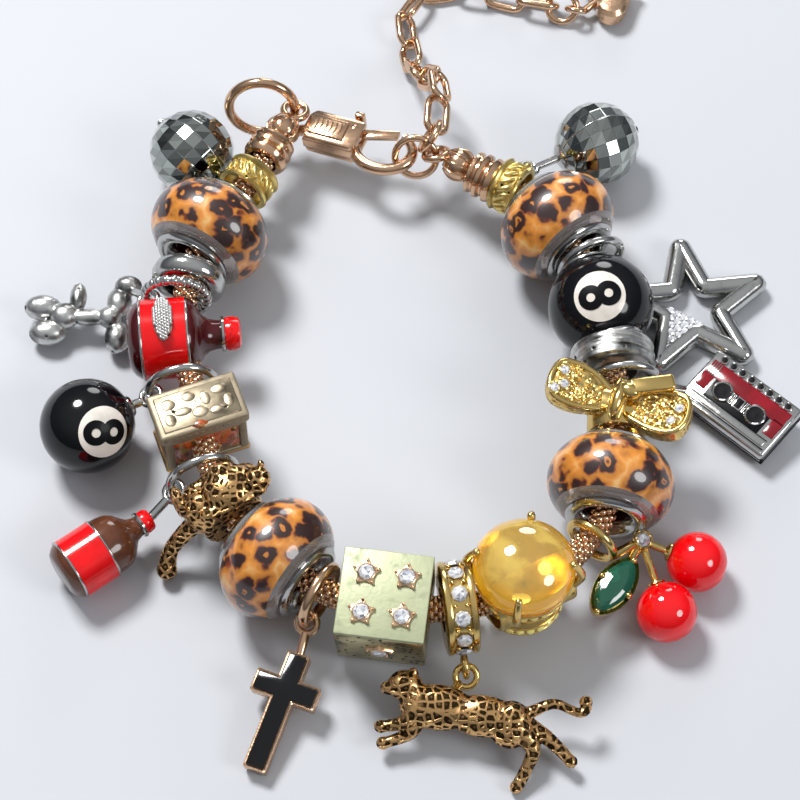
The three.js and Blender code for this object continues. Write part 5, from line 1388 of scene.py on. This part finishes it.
class MakeYellowStone(bpy.types.Operator):
    """A yellow dome in a gold basket with two rows of small stones"""

    bl_idname = "bracelet.yellow_stone"
    bl_label = "Yellow stone"

    def execute(self, context):
        radius = sizes().stone_radius / MM
        stand = Matrix.Translation((0, 1.0, 0)) @ UPRIGHT
        dome = [(3.1, 0), (3.1, radius * 0.9), (3.25, radius * 0.97), (3.5, radius)]
        for i in range(1, 13):
            a = math.radians(7.5 * i)
            dome.append((3.5 + 4.0 * math.sin(a), radius * math.cos(a)))
        stone = put(turned(dome, "citrine", 48, 60), stand)
        settle("yellow_stone", "citrine", [stone], ["citrine_stone"])
        cup = [
            (-4.9, 0), (-4.9, 3.0), (-4.6, 3.6), (-3.9, 4.25), (-2.6, 4.3), (-2.2, 3.9), (-0.4, 4.0),
            (0.3, 4.5), (0.5, 4.75), (1.6, 4.9), (1.9, 5.1), (2.5, 5.4), (2.8, 5.45), (2.85, 5.2), (2.6, 4.8),
            (2.6, 0),
        ]
        basket = [turned(cup, "yellow_gold", 56)]
        wide = round_places(26, 4.85, x=1.05)
        basket.append(studs(wide, gem(0.46, name="yellow_gem")))
        basket.append(studs(round_places(24, 4.32, x=-3.3), gem(0.46, name="yellow_gem")))
        for x, r in ((0.5, 4.85), (1.62, 5.0), (-3.95, 4.25), (-2.65, 4.3)):
            basket.append(wire(arc(r, count=48, x=x)[:-1], 0.14, "yellow_gold", closed=True))
        for angle in (35, 125, 215, 305):
            c, s = math.cos(math.radians(angle)), math.sin(math.radians(angle))
            reach = radius + 0.45
            foot = [(0.8, 0.86), (2.4, 1.0), (3.6, 1.03), (4.9, 0.96), (5.6, 0.86)]
            points = [(z, reach * share * s, reach * share * c) for z, share in foot]
            knots = [(*point, 1.0 if i < 3 else 0.8) for i, point in enumerate(points)]
            claw = wire(knots, 0.5, "yellow_gold")
            basket += [claw, lump(points[-1], 0.45, "yellow_gold", segments=12, rings=8)]
        cup_whole = put(joined(*basket), stand)
        bore = [(-4.5, 2.5), (-4.5, 2.8), (-4.3, 2.9), (4.3, 2.9), (4.5, 2.8), (4.5, 2.5), (-4.5, 2.5)]
        sleeve = turned(bore, "worn_gold", 32)
        settle("stone_basket", "citrine", [cup_whole, sleeve], ["citrine_setting"])
        return {"FINISHED"}


class MakeCherries(bpy.types.Operator):
    """Two red glass cherries on gold stems, with a green leaf"""

    bl_idname = "bracelet.cherries"
    bl_label = "Cherries"

    def execute(self, context):
        radius = sizes().cherry_radius / MM
        joint = Vector(FRAMES["cherry_joint"][:3])
        point, way = along(chain_line(), CHERRY_HOOP_AT)
        inward = Vector((-way.y, way.x, 0))
        hoop = heading(point - inward * 0.4, way)
        edge = on_ring(hoop, CHERRY_HOOP[0], -20)[0]
        frame_parts = [put(jump_ring(*CHERRY_HOOP, "yellow_gold"), hoop)]
        frame_parts.append(wire([edge, (edge + joint) / 2 + Vector((0, 0, 0.3)), joint], 0.55, "yellow_gold"))
        for number in (1, 2):
            name = "cherry_%d" % number
            centre = Vector(FRAMES[name][:3])
            ball = round_ball(radius, "cherry", 44)
            cherry = put(ball, turned_to(joint - centre))
            settle("red_" + name, name, [cherry], [name])
            away = (centre - joint).normalized()
            end = centre - away * (radius + 0.25)
            middle = (joint + end) / 2 + Vector((0, 0, 0.35))
            frame_parts.append(wire([joint, middle, end], 0.42, "yellow_gold"))
            flower = [(-0.15, 1.05), (0.05, 1.0), (0.2, 0.7), (0.35, 0.45), (0.6, 0.3), (0.6, 0)]
            cup = turned(flower, "yellow_gold", 24)
            frame_parts.append(put(cup, turned_to(-away, end + away * 0.2)))
        rim = [(0, 1.05), (1.1, 1.1), (1.25, 1.0), (1.1, 0.85), (0.6, 0.8), (0, 0)]
        bezel = turned(rim, "yellow_gold", 32)
        frame_parts.append(put(bezel, turned_to((0.15, -0.25, 1), joint)))
        frame_parts.append(put(gem(0.85), turned_to((0.15, -0.25, 1), joint + Vector((0.13, -0.2, 0.95)))))
        leaf_place = spot("leaf")
        outer = self.leaf(3.85, 2.1)
        cup = put(outline_plate(outer, 1.3, "yellow_gold", 0.2, inner=(0.3, 0.6)), leaf_place)
        back = leaf_place @ Vector((1.6, 0, -0.4))
        frame_parts += [cup, wire([back, (back + joint) / 2, joint], 0.55, "yellow_gold")]
        for at in ((-3.5, 0, 0.4), (3.5, 0, 0.4), (0, 1.75, 0.5), (0, -1.75, 0.5)):
            claw = lump(at, (0.42, 0.42, 0.5), "yellow_gold", segments=12, rings=8)
            frame_parts.append(put(claw, leaf_place))
        settle("cherry_stems", Matrix(), frame_parts, ["cherry_frame"])
        stone = outline_plate(self.leaf(3.3, 1.6), 0.9, "leaf", 0)
        choose(stone)
        bpy.ops.object.mode_set(mode="EDIT")
        pick_faces(lambda middle, normal: normal.z > 0.9)
        for share, rise in ((0.86, 0.22), (0.8, 0.16)):
            bpy.ops.mesh.extrude_region_move(TRANSFORM_OT_translate={"value": (0, 0, rise)})
            bpy.ops.transform.resize(value=(share, share * 0.86, 1), center_override=(0, 0, 0))
        bpy.ops.object.mode_set(mode="OBJECT")
        coat(stone, "leaf", 0)
        put(stone, Matrix.Translation((0, 0, 0.25)))
        settle("green_leaf", leaf_place, [stone], ["leaf_stone"])
        return {"FINISHED"}

    @staticmethod
    def leaf(half_length, half_width):
        points = []
        for i in range(28):
            a = 2 * math.pi * i / 28
            side = math.copysign(abs(math.sin(a)) ** 1.3, math.sin(a))
            points.append((half_length * math.cos(a), half_width * side))
        return points


class MakeBow(bpy.types.Operator):
    """A gold bow with crumpled puffy loops, small stones and a smooth tail"""

    bl_idname = "bracelet.bow"
    bl_label = "Bow"

    @staticmethod
    def loop(side, stones):
        knots = [
            (1.1, 1.0), (2.4, 3.3), (2.75, 5.6), (2.2, 7.6), (0.4, 8.2), (-1.3, 8.05), (-2.5, 7.2),
            (-2.8, 5.2), (-2.2, 3.0), (-1.1, 1.0), (1.1, 1.0),
        ]
        edge = smooth_route([(x, side * y, 0) for x, y in knots], 4)[:-1]
        parts = [outline_plate([(p.x, p.y) for p in edge], 2.1, "nugget_gold", 0.55)]
        rim = [(p.x * 0.9, p.y * 0.95 + side * 0.2, 0.85) for p in edge]
        parts.append(wire(rim, 0.42, "yellow_gold", closed=True))
        random.seed(11 + side)
        nuggets = []
        for _ in range(60):
            x, y = random.uniform(-2.1, 2.1), random.uniform(2.2, 7.0)
            if abs(x) < 0.7 + 0.28 * y:
                size = random.uniform(0.8, 1.5)
                turn = Matrix.Rotation(random.uniform(0, 3), 4, "Z")
                shape = Matrix.Diagonal((size, size * 0.7, size * 0.7, 1))
                nuggets.append(Matrix.Translation((x, side * y, 1.0)) @ turn @ shape)
        parts.append(spread(lump((0, 0, 0), 0.42, "nugget_gold", segments=8, rings=6), nuggets))
        places = [(Vector((x, side * y, 1.25)), Vector((0, 0, 1))) for x, y in stones]
        cup = turned([(-0.4, 0.72), (0.12, 0.7), (0.18, 0.6), (0.0, 0.5)], "yellow_gold", 20)
        parts += [studs(places, cup), studs(places, gem(0.6))]
        return joined(*parts)

    def execute(self, context):
        bore = [(-2.4, 2.5), (-2.4, 3.1), (-2.2, 3.25), (2.2, 3.25), (2.4, 3.1), (2.4, 2.5), (-2.4, 2.5)]
        sleeve = turned(bore, "yellow_gold", 36)
        bow = []
        for side, stones in ((1, ((0.9, 6.9), (-0.7, 6.4), (-1.6, 7.3))), (-1, ((0.5, 7.0), (-1.2, 6.5)))):
            tilt = about_x(side * 14, y=side * 4.7, z=LIFT - 0.6)
            bow.append(put(self.loop(side, stones), tilt @ Matrix.Translation((0, -side * 4.7, 0))))
        knot = [lump((0, 0, LIFT + 0.1), (2.6, 1.0, 1.75), "yellow_gold", segments=28, rings=16)]
        for y in (-0.75, 0.75):
            band = [(-2.3, y * 0.7, LIFT + 0.3), (0, y, LIFT + 1.55), (2.3, y * 0.7, LIFT + 0.3)]
            knot.append(wire(band, 0.34, "yellow_gold"))
        slant = (0, 0, math.radians(28))
        end = block((2.15, -3.0, LIFT + 1.5), (1.9, 5.0, 1.0), "yellow_gold", 0.35, slant, segments=3)
        tail = [end, lump((0.8, -0.9, LIFT + 1.2), (1.0, 1.3, 0.9), "yellow_gold")]
        back = put(round_ball(1.0, "yellow_gold", 28),
                   Matrix.Translation((0, 0, LIFT - 1.2)) @ Matrix.Diagonal((1.9, 5.0, 1.2, 1)))
        whole = put(joined(*bow, *knot, *tail, back), Matrix.Rotation(math.radians(-17), 4, "Z"))
        settle("gold_bow", "bow", [sleeve, whole], ["bow_bead"])
        return {"FINISHED"}


class MakeStar(bpy.types.Operator):
    """An open silver star with one corner full of small stones"""

    bl_idname = "bracelet.star"
    bl_label = "Star"

    @staticmethod
    def bar(outer, inner):
        """Places round the star's rounded bar, closer together at each corner."""
        corners = [Vector((x, y, 0)) for x, y in star_points(outer, inner / outer)]
        points = []
        for i, corner in enumerate(corners):
            for other in (corners[i - 1], None, corners[(i + 1) % 10]):
                points.append(tuple(corner if other is None else corner.lerp(other, 0.13)))
        return points

    def execute(self, context):
        radius = sizes().star_radius / MM
        place = spot("star")
        bars = wire(self.bar(radius - 1.0, radius * 0.335), 1.2, "silver", closed=True, rounding=5, steps=5)
        put(bars, Matrix.Diagonal((1, 1, 1.08, 1)))
        far, near = math.radians(234), radius * 0.27
        corner = [(radius * 0.8 * math.cos(far), radius * 0.8 * math.sin(far))]
        for a in (198, 270):
            corner.append((near * math.cos(math.radians(a)), near * math.sin(math.radians(a))))
        fill = outline_plate([corner[1], corner[0], corner[2]], 1.9, "pave_ground", 0.1)
        stones = []
        for row in range(5):
            for i in range(5 - row):
                out, side = 1.95 + 0.85 * row, 0.9 * (i - (4 - row) / 2)
                x = out * math.cos(far) - side * math.sin(far)
                y = out * math.sin(far) + side * math.cos(far)
                stones.append((Vector((x, y, 0.98)), Vector((0, 0, 1))))
        tip = math.radians(162)
        stem_to = (8.25 * math.cos(tip), 8.25 * math.sin(tip), 0)
        hold = on_ring(spot("star_bail"), HOOP[0], -50)
        parts = [bars, fill, studs(stones, gem(0.5)), *hang(place, hold, EYE, stem_to, 0.5, "silver")]
        settle("open_star", place, parts, ["star_charm"])
        return {"FINISHED"}


class MakeTape(bpy.types.Operator):
    """A small silver tape cassette with a red label, two reels and studs"""

    bl_idname = "bracelet.tape"
    bl_label = "Cassette"

    def execute(self, context):
        length = sizes().tape_length / MM
        width, depth = 7.4, 2.6
        place = spot("tape")
        parts = [block((0, 0, 0), (length, width, depth), "silver", 0.35, segments=3)]
        for z in (-0.55, 0.15):
            parts.append(block((0, 0, z), (length + 0.1, width + 0.1, 0.22), "ink", 0.05))
        top = depth / 2
        parts.append(block((0, 1.5, top), (length - 1.0, 1.9, 0.16), "label", 0.05))
        for x in (-4.85, 4.85):
            parts.append(block((x, -0.2, top), (1.4, 2.2, 0.16), "label", 0.05))
        parts.append(block((0, -0.3, top), (7.6, 2.9, 0.1), "ink", 0.04))
        for x in (-2.3, 2.3):
            rim = [(0, 1.05), (0.22, 1.25), (0.3, 1.15), (0.22, 1.0), (0.1, 0.98), (0.1, 0)]
            stand = Matrix.Translation((x, -0.2, top)) @ UPRIGHT
            ring = put(turned(rim, "silver", 36), stand)
            hub = put(turned([(0.1, 0.98), (0.14, 0.95), (0.1, 0.3), (0.14, 0)], "ink", 30), stand)
            parts += [ring, hub]
        parts.append(block((0, -0.2, top + 0.03), (1.1, 1.5, 0.14), "silver", 0.05))
        parts.append(block((0, -0.2, top + 0.08), (0.8, 1.2, 0.1), "ink", 0.03))
        for x in (-1.0, 1.0):
            for i in range(3):
                end, bent = x * (0.75 + 0.2 * i), x * (0.68 + 0.2 * i)
                line = [(end, -0.9, top + 0.06), (bent, -0.2, top + 0.07), (end, 0.5, top + 0.06)]
                parts.append(wire(line, 0.05, "silver"))
        parts.append(block((0, -2.35, top), (length - 1.6, 0.8, 0.24), "silver", 0.1))
        parts.append(block((0, -2.95, top), (length - 0.9, 0.16, 0.12), "ink", 0.04))
        parts.append(block((0, -1.82, top), (length - 1.4, 0.12, 0.12), "ink", 0.04))
        parts.append(block((0, -3.3, top - 0.1), (length - 0.8, 0.45, 0.3), "silver", 0.1))
        for i in range(8):
            x = length * 0.86 * (i + 0.5) / 8 - length * 0.43
            at = Matrix.Translation((x, width / 2 - 0.75, top)) @ UPRIGHT
            stud = turned([(0, 0.55), (0.22, 0.5), (0.26, 0.4), (0.16, 0.3), (0.0, 0.3)], "silver", 20)
            parts.append(put(stud, at))
            parts.append(put(turned([(0.02, 0.34), (0.1, 0.3), (0.14, 0)], "ink", 16), at))
        for i in range(5):
            parts.append(block((-5.4 + 0.28 * i, 1.5, top + 0.05), (0.08, 1.8, 0.18), "silver", 0.02))
        hold = on_ring(spot("tape_bail"), HOOP[0], -22)
        parts += hang(place, hold, EYE, (-5.4, -1.85, 0), 0.5, "silver")
        settle("cassette", place, parts, ["tape_charm"])
        return {"FINISHED"}


class MakeMirrorBalls(bpy.types.Operator):
    """Two rope-edged bails, each with a hanging ball of mirror facets"""

    bl_idname = "bracelet.mirror_balls"
    bl_label = "Mirror balls"

    def execute(self, context):
        radius = sizes().faceted_radius / MM
        for number, angle in ((1, 55), (2, 20)):
            bail = spot("rope_bail_%d" % number)
            profile = [(-1.5, 2.5), (-1.5, 3.05), (-1.25, 3.2), (-1.0, 3.05), (-0.85, 2.8), (0.85, 2.8),
                       (1.0, 3.05), (1.25, 3.2), (1.5, 3.05), (1.5, 2.5), (-1.5, 2.5)]
            sleeve = turned(profile, "worn_gold", 44)
            strand = lump((0, 0, 0), (0.95, 0.34, 0.3), "worn_gold", segments=12, rings=8)
            put(strand, Matrix.Rotation(math.radians(38), 4, "Z"))
            strands = [about_x(360 * i / 18) @ Matrix.Translation((0, 0, 2.85)) for i in range(18)]
            eye_place = about_x(angle) @ Matrix.Translation((0, -ROPE_EYE_AT, 0))
            eye_frame = bail @ eye_place
            loop = put(jump_ring(*BAIL_EYE, "worn_gold"), eye_place)
            parts = [sleeve, spread(strand, strands), loop]
            settle("rope_sleeve_%d" % number, bail, parts, ["rope_bail_%d" % number])
            place = spot("faceted_ball_%d" % number)
            ball = facet_ball(radius, "mirror_glass")
            cap = [
                (radius - 0.45, 1.75), (radius - 0.15, 1.6), (radius + 0.1, 1.2),
                (radius + 0.3, 0.7), (radius + 0.3, 0),
            ]
            pin = [(-radius - 0.5, 0), (-radius - 0.35, 0.45), (-radius, 0.6), (-radius + 0.2, 0.5)]
            seam = wire(arc(radius * 0.995, count=60)[:-1], 0.09, "silver", closed=True)
            put(seam, Matrix.Rotation(math.pi / 2, 4, "Z"))
            parts = [ball, turned(cap, "silver", 28), turned(pin, "silver", 20), seam]
            parts += hang(place, on_ring(eye_frame, BAIL_EYE[0], 0), BAIL_EYE, (radius, 0, 0), 0.45, "silver")
            settle("mirror_ball_%d" % number, place, parts, ["faceted_ball_%d" % number])
        return {"FINISHED"}


class MakeChain(bpy.types.Operator):
    """The lumpy rose gold chain that carries the beads"""

    bl_idname = "bracelet.chain"
    bl_label = "Chain"

    def execute(self, context):
        radius = sizes().chain_radius / MM
        step = sizes().lump_step / MM
        line = chain_line()
        grain = lump((0, 0, radius - 0.5), (0.56, 0.5, 0.5), "rose_gold", segments=7, rings=5)
        rows = [about_x(60 * i) for i in range(6)]
        rows += [about_x(60 * i + 30, x=step * 0.5) for i in range(6)]
        pair = spread(grain, rows)
        count = int(run_length(line) / step)
        places = [heading(*along(line, (i + 0.25) * step)) for i in range(count)]
        core = wire([tuple(p) for p in line[::6]] + [tuple(line[-1])], radius - 0.55, "rose_cast", steps=3)
        settle("lumpy_chain", Matrix(), [spread(pair, places), core], ["snake_chain"])
        return {"FINISHED"}


class MakeClasp(bpy.types.Operator):
    """End caps, the large ring, the lobster catch with its lever, and the jump rings"""

    bl_idname = "bracelet.clasp"
    bl_label = "Clasp"

    @staticmethod
    def cap(name, node, place, hold):
        profile = [
            (0, 1.75), (0, 2.4), (0.35, 2.62), (0.8, 2.7), (1.1, 2.3), (1.35, 2.25), (1.6, 2.6), (2.0, 2.68),
            (2.3, 2.3), (2.55, 2.25), (2.8, 2.5), (3.1, 2.5), (3.35, 2.2), (3.5, 1.6), (3.8, 1.3),
        ]
        for i in range(1, 11):
            a = math.radians(40 + 14 * i)
            profile.append((5.05 - 1.9 * math.cos(a), 1.9 * math.sin(a)))
        profile.append((6.9, 0))
        parts = [turned(profile, "rose_gold", 48)]
        inside = [(0, 1.75), (2.6, 1.75), (2.6, 0)]
        parts.append(turned(inside, "rose_cast", 32))
        course = [(3.7, 0, 1.35), (4.4, 0, 1.88), (5.05, 0, 1.95), (5.9, 0, 1.75), (6.6, 0, 1.15)]
        rib = wire(course, 0.13, "rose_gold", rounding=2, steps=4)
        parts.append(spread(rib, [about_x(36 * i) for i in range(10)]))
        parts += hang(place, hold, CAP_EYE, (6.4, 0, 0), 0.65, "rose_gold")
        settle(name, place, parts, [node])

    def execute(self, context):
        ring, jump = spot("clasp_ring"), spot("jump_a")
        large = jump_ring(*CLASP_RING, "rose_gold", 250)
        settle("large_ring", ring, [large], ["clasp_ring"])
        settle("right_ring", jump, [jump_ring(*JUMP_RING, "rose_gold")], ["jump_ring_a"])
        small = jump_ring(*SMALL_RING, "rose_gold")
        settle("small_ring", "jump_b", [small], ["jump_ring_b"])
        self.cap("left_cap", "end_cap_left", spot("cap_left"), on_ring(ring, CLASP_RING[0], 0))
        self.cap("right_cap", "end_cap_right", spot("cap_right"), on_ring(jump, JUMP_RING[0], 0))
        self.lobster(spot("lobster"), on_ring(ring, CLASP_RING[0], -33))
        self.lever(spot("lobster"))
        return {"FINISHED"}

    @staticmethod
    def lobster(place, hold):
        outline = [
            (3.1, -2.1), (8.9, -2.1), (9.45, -1.5), (9.45, 1.9), (9.05, 2.1), (3.1, 2.1), (2.45, 1.2),
            (2.45, -1.2),
        ]
        body = outline_plate(outline, 0.85, "rose_gold", 0.3)
        sides = spread(body, [Matrix.Translation((0, 0, z)) for z in (-1.075, 1.075)])
        floor = block((5.9, -1.3, 0), (6.4, 1.5, 1.5), "rose_gold", 0.1)
        tail = block((4.0, 0, 0), (2.6, 3.6, 1.5), "rose_gold", 0.1)
        badge = block((5.4, -0.1, 1.6), (4.4, 2.7, 0.4), "rose_gold", 0.12)
        relief = block((5.4, -0.1, 1.78), (3.6, 1.9, 0.12), "rose_cast", 0.05)
        lines = [wire([(x, -0.9, 1.85), (x + 0.25, -0.1, 1.88), (x, 0.7, 1.85)], 0.1, "rose_gold", rounding=2)
                 for x in (3.9, 4.5, 5.1, 5.7, 6.3, 6.9)]
        pin = turned([(-1.3, 0), (-1.3, 0.4), (1.5, 0.4), (1.58, 0.3), (1.58, 0)], "rose_gold", 20)
        put(pin, Matrix.Translation((*PIN_AT, 0)) @ UPRIGHT)
        points = []
        for i in range(17):
            a = math.radians(-158 + 220 * i / 16)
            thick = 1.05 if i < 12 else 1.05 - 0.05 * (i - 11)
            points.append((12.25 + 3.5 * math.cos(a), 2.8 * math.sin(a), 0, thick))
        hook = wire(points, 0.68, "rose_gold", rounding=4)
        parts = [sides, floor, tail, badge, relief, *lines, pin, hook]
        parts += hang(place, hold, EYE, (2.85, 0, 0), 0.7, "rose_gold")
        settle("lobster_case", place, parts, ["lobster_body"])

    @staticmethod
    def lever(place):
        x, y = PIN_AT
        arm = [(x, y - 0.5), (13.2, 1.98), (13.25, 2.9), (x + 0.2, y + 0.7)]
        gate = outline_plate(arm, 0.85, "rose_gold", 0.12)
        barrel = [
            (-0.45, 0.56), (-0.45, 0.9), (-0.38, 0.95), (0.38, 0.95), (0.45, 0.9), (0.45, 0.56),
            (-0.45, 0.56),
        ]
        boss = put(turned(barrel, "rose_gold", 30), Matrix.Translation((x, y, 0)) @ UPRIGHT)
        stalk = block((x - 0.2, y + 1.35, 0), (0.85, 1.5, 0.85), "rose_gold", 0.1)
        thumb = block((x - 0.2, y + 2.2, 0), (1.2, 0.8, 2.6), "rose_gold", 0.25, segments=3)
        parts = [gate, boss, stalk, thumb]
        settle("lobster_gate", place, parts, ["lobster_lever"], body=LEVER)


class MakeExtension(bpy.types.Operator):
    """The extension chain of oval links, its end ring and the heart"""

    bl_idname = "bracelet.extension"
    bl_label = "Extension chain"

    def execute(self, context):
        ring = on_ring(spot("jump_b"), SMALL_RING[0], 0)
        points = [Vector(p) + SHIFT for p in EXTENSION_ROUTE]
        slack = LINK["length"] / 2 - SMALL_RING[1] - 2 * LINK["wire"] - 0.15
        first = threaded(ring, points[0] - ring[0], slack)
        start = first.to_translation()
        ahead = (first.to_3x3() @ Vector((0, -1, 0))).normalized()
        line = smooth_route([start, start + ahead * LINK["pitch"], *points])
        count = int(run_length(line) / LINK["pitch"]) + 1
        places = [first @ Matrix.Rotation(-math.pi / 2, 4, "Z") @ Matrix.Rotation(math.pi / 2, 4, "X")]
        for i in range(1, count):
            turn = LINK["roll"] if i % 2 else -LINK["roll"]
            places.append(heading(*along(line, i * LINK["pitch"])) @ about_x(turn))
        radius, stretch = LINK["width"] / 2 - LINK["wire"], (LINK["length"] - LINK["width"]) / 2
        oval = []
        for i in range(24):
            a = 2 * math.pi * (i + 0.5) / 24
            oval.append((radius * math.cos(a) + math.copysign(stretch, math.cos(a)), radius * math.sin(a), 0))
        link = wire(oval, LINK["wire"], "rose_gold", closed=True, rounding=3, steps=2)
        settle("oval_links", Matrix(), [spread(link, places)], ["extension_chain"])
        settle("last_ring", "end_ring", [jump_ring(*END_RING, "rose_gold")], ["end_ring"])
        outline = []
        for i in range(44):
            t = 2 * math.pi * i / 44
            x = 3.6 * math.sin(t) ** 3
            y = 3.4 * (13 * math.cos(t) - 5 * math.cos(2 * t) - 2 * math.cos(3 * t) - math.cos(4 * t)) / 15.2
            outline.append((x, y * 0.97 + 0.15))
        plate = outline_plate(outline, 1.6, "rose_cast", 0)
        place = spot("heart")
        heart = self.puffed(plate)
        hold = on_ring(spot("end_ring"), END_RING[0], 0)
        parts = [heart, *hang(place, hold, EYE, (0, 2.1, 0), 0.5, "rose_gold")]
        settle("puffed_heart", place, parts, ["heart_drop"])
        return {"FINISHED"}

    @staticmethod
    def puffed(plate):
        choose(plate)
        bpy.ops.object.mode_set(mode="EDIT")
        for sign in (1, -1):
            for share, rise in ((0.86, 0.42), (0.8, 0.24), (0.62, 0.1)):
                pick_faces(lambda middle, normal: normal.z * sign > 0.95)
                bpy.ops.mesh.extrude_region_move(TRANSFORM_OT_translate={"value": (0, 0, sign * rise)})
                bpy.ops.transform.resize(value=(share, share, 1), center_override=(0, 0, 0))
        bpy.ops.object.mode_set(mode="OBJECT")
        return coat(plate, "rose_cast", 75)


class MakeStage(bpy.types.Operator):
    """A plain pale floor, soft lights and the camera"""

    bl_idname = "bracelet.stage"
    bl_label = "Stage"

    def execute(self, context):
        fresh()
        bpy.ops.mesh.primitive_plane_add(size=4.0, location=(0, 0, -0.0001))
        apply_place()
        open_mesh()
        bpy.ops.mesh.subdivide(number_cuts=2)
        bpy.ops.object.mode_set(mode="OBJECT")
        floor = bpy.context.object
        floor.name = "pale_floor"
        shader = Shader("pale_floor", Specular_IOR_Level=0.3)
        cloud = shader.noise(9, 3)
        shader.put("Base Color", shader.blend(cloud, tint("floor", 0.96), tint("floor", 1.03)))
        shader.put("Roughness", 0.5 + cloud * 0.12)
        shader.bump(shader.noise(1800, 3), 0.05)
        floor.data.materials.append(shader.material)
        for name, place, turn, size, power in (
            ("key_light", (-0.25, 0.32, 0.62), (-27, -22, 0), 0.22, 6.5),
            ("fill_light", (0.55, -0.30, 0.45), (33, 51, 0), 0.3, 2.0),
            ("back_light", (0.1, 0.8, 0.3), (-69, 0, 0), 0.3, 1.5),
        ):
            fresh()
            bpy.ops.object.light_add(type="AREA", location=place, rotation=[math.radians(a) for a in turn])
            light = bpy.context.object
            light.name = name
            light.data.shape = "DISK"
            light.data.size = size
            light.data.energy = power
        world = bpy.context.scene.world or bpy.data.worlds.new("studio")
        bpy.context.scene.world = world
        world.use_nodes = True
        self.sky(world.node_tree)
        fresh()
        eye, target = Vector((-0.001, -0.1584, 0.2641)), Vector((-0.001, -0.00593, 0))
        turn = (target - eye).to_track_quat("-Z", "Y").to_euler()
        bpy.ops.object.camera_add(location=eye, rotation=turn)
        camera = bpy.context.object
        camera.name = "photo_camera"
        camera.data.lens = 120.8
        camera.data.sensor_width = 36.0
        camera.data.clip_start = 0.01
        bpy.context.scene.camera = camera
        bpy.context.scene.view_settings.view_transform = "Standard"
        return {"FINISHED"}

    @staticmethod
    def sky(tree):
        """Brighter overhead and darker to the sides, as in a light tent."""
        tree.nodes.clear()
        place = tree.nodes.new("ShaderNodeTexCoord")
        parts = tree.nodes.new("ShaderNodeSeparateXYZ")
        ramp = tree.nodes.new("ShaderNodeValToRGB")
        glow = tree.nodes.new("ShaderNodeBackground")
        out = tree.nodes.new("ShaderNodeOutputWorld")
        low, high = ramp.color_ramp.elements
        low.position, low.color = 0.0, (0.16, 0.17, 0.19, 1)
        high.position, high.color = 0.9, (0.95, 0.97, 1.0, 1)
        middle = ramp.color_ramp.elements.new(0.35)
        middle.color = (0.34, 0.36, 0.4, 1)
        tree.links.new(place.outputs["Generated"], parts.inputs[0])
        tree.links.new(parts.outputs["Z"], ramp.inputs[0])
        tree.links.new(ramp.outputs[0], glow.inputs[0])
        tree.links.new(glow.outputs[0], out.inputs[0])
        glow.inputs[1].default_value = 0.55


PIECES = (
    MakeStage, MakeChain, MakePrintedBeads, MakeStoppers, MakeSilverAnimal, MakeBottleBead, MakeHoops,
    MakeBallCharm, MakeBallBead, MakeBox, MakeBottleCharm, MakeCatBead, MakeCross, MakeCube, MakeSpacer,
    MakeRunningCat, MakeYellowStone, MakeCherries, MakeBow, MakeStar, MakeTape, MakeMirrorBalls, MakeClasp,
    MakeExtension,
)


class BraceletPanel(bpy.types.Panel):
    """Sizes, colours and pieces of the bracelet"""

    bl_idname = "VIEW3D_PT_bracelet"
    bl_label = "Charm bracelet"
    bl_space_type = "VIEW_3D"
    bl_region_type = "UI"
    bl_category = "Bracelet"

    def draw(self, context):
        layout = self.layout
        for group in (context.scene.bracelet_sizes, context.scene.bracelet_colours):
            column = layout.column(align=True)
            for name in group.__annotations__:
                column.prop(group, name)
        column = layout.column(align=True)
        for piece in PIECES:
            column.operator(piece.bl_idname)


CLASSES = (BraceletSizes, BraceletColours, *PIECES, BraceletPanel)


def register():
    for cls in CLASSES:
        bpy.utils.register_class(cls)
    bpy.types.Scene.bracelet_sizes = bpy.props.PointerProperty(type=BraceletSizes)
    bpy.types.Scene.bracelet_colours = bpy.props.PointerProperty(type=BraceletColours)


def unregister():
    del bpy.types.Scene.bracelet_colours
    del bpy.types.Scene.bracelet_sizes
    for cls in reversed(CLASSES):
        bpy.utils.unregister_class(cls)


def main():
    register()
    for piece in PIECES:
        getattr(bpy.ops.bracelet, piece.bl_idname.split(".")[1])()


if __name__ == "__main__":
    main()
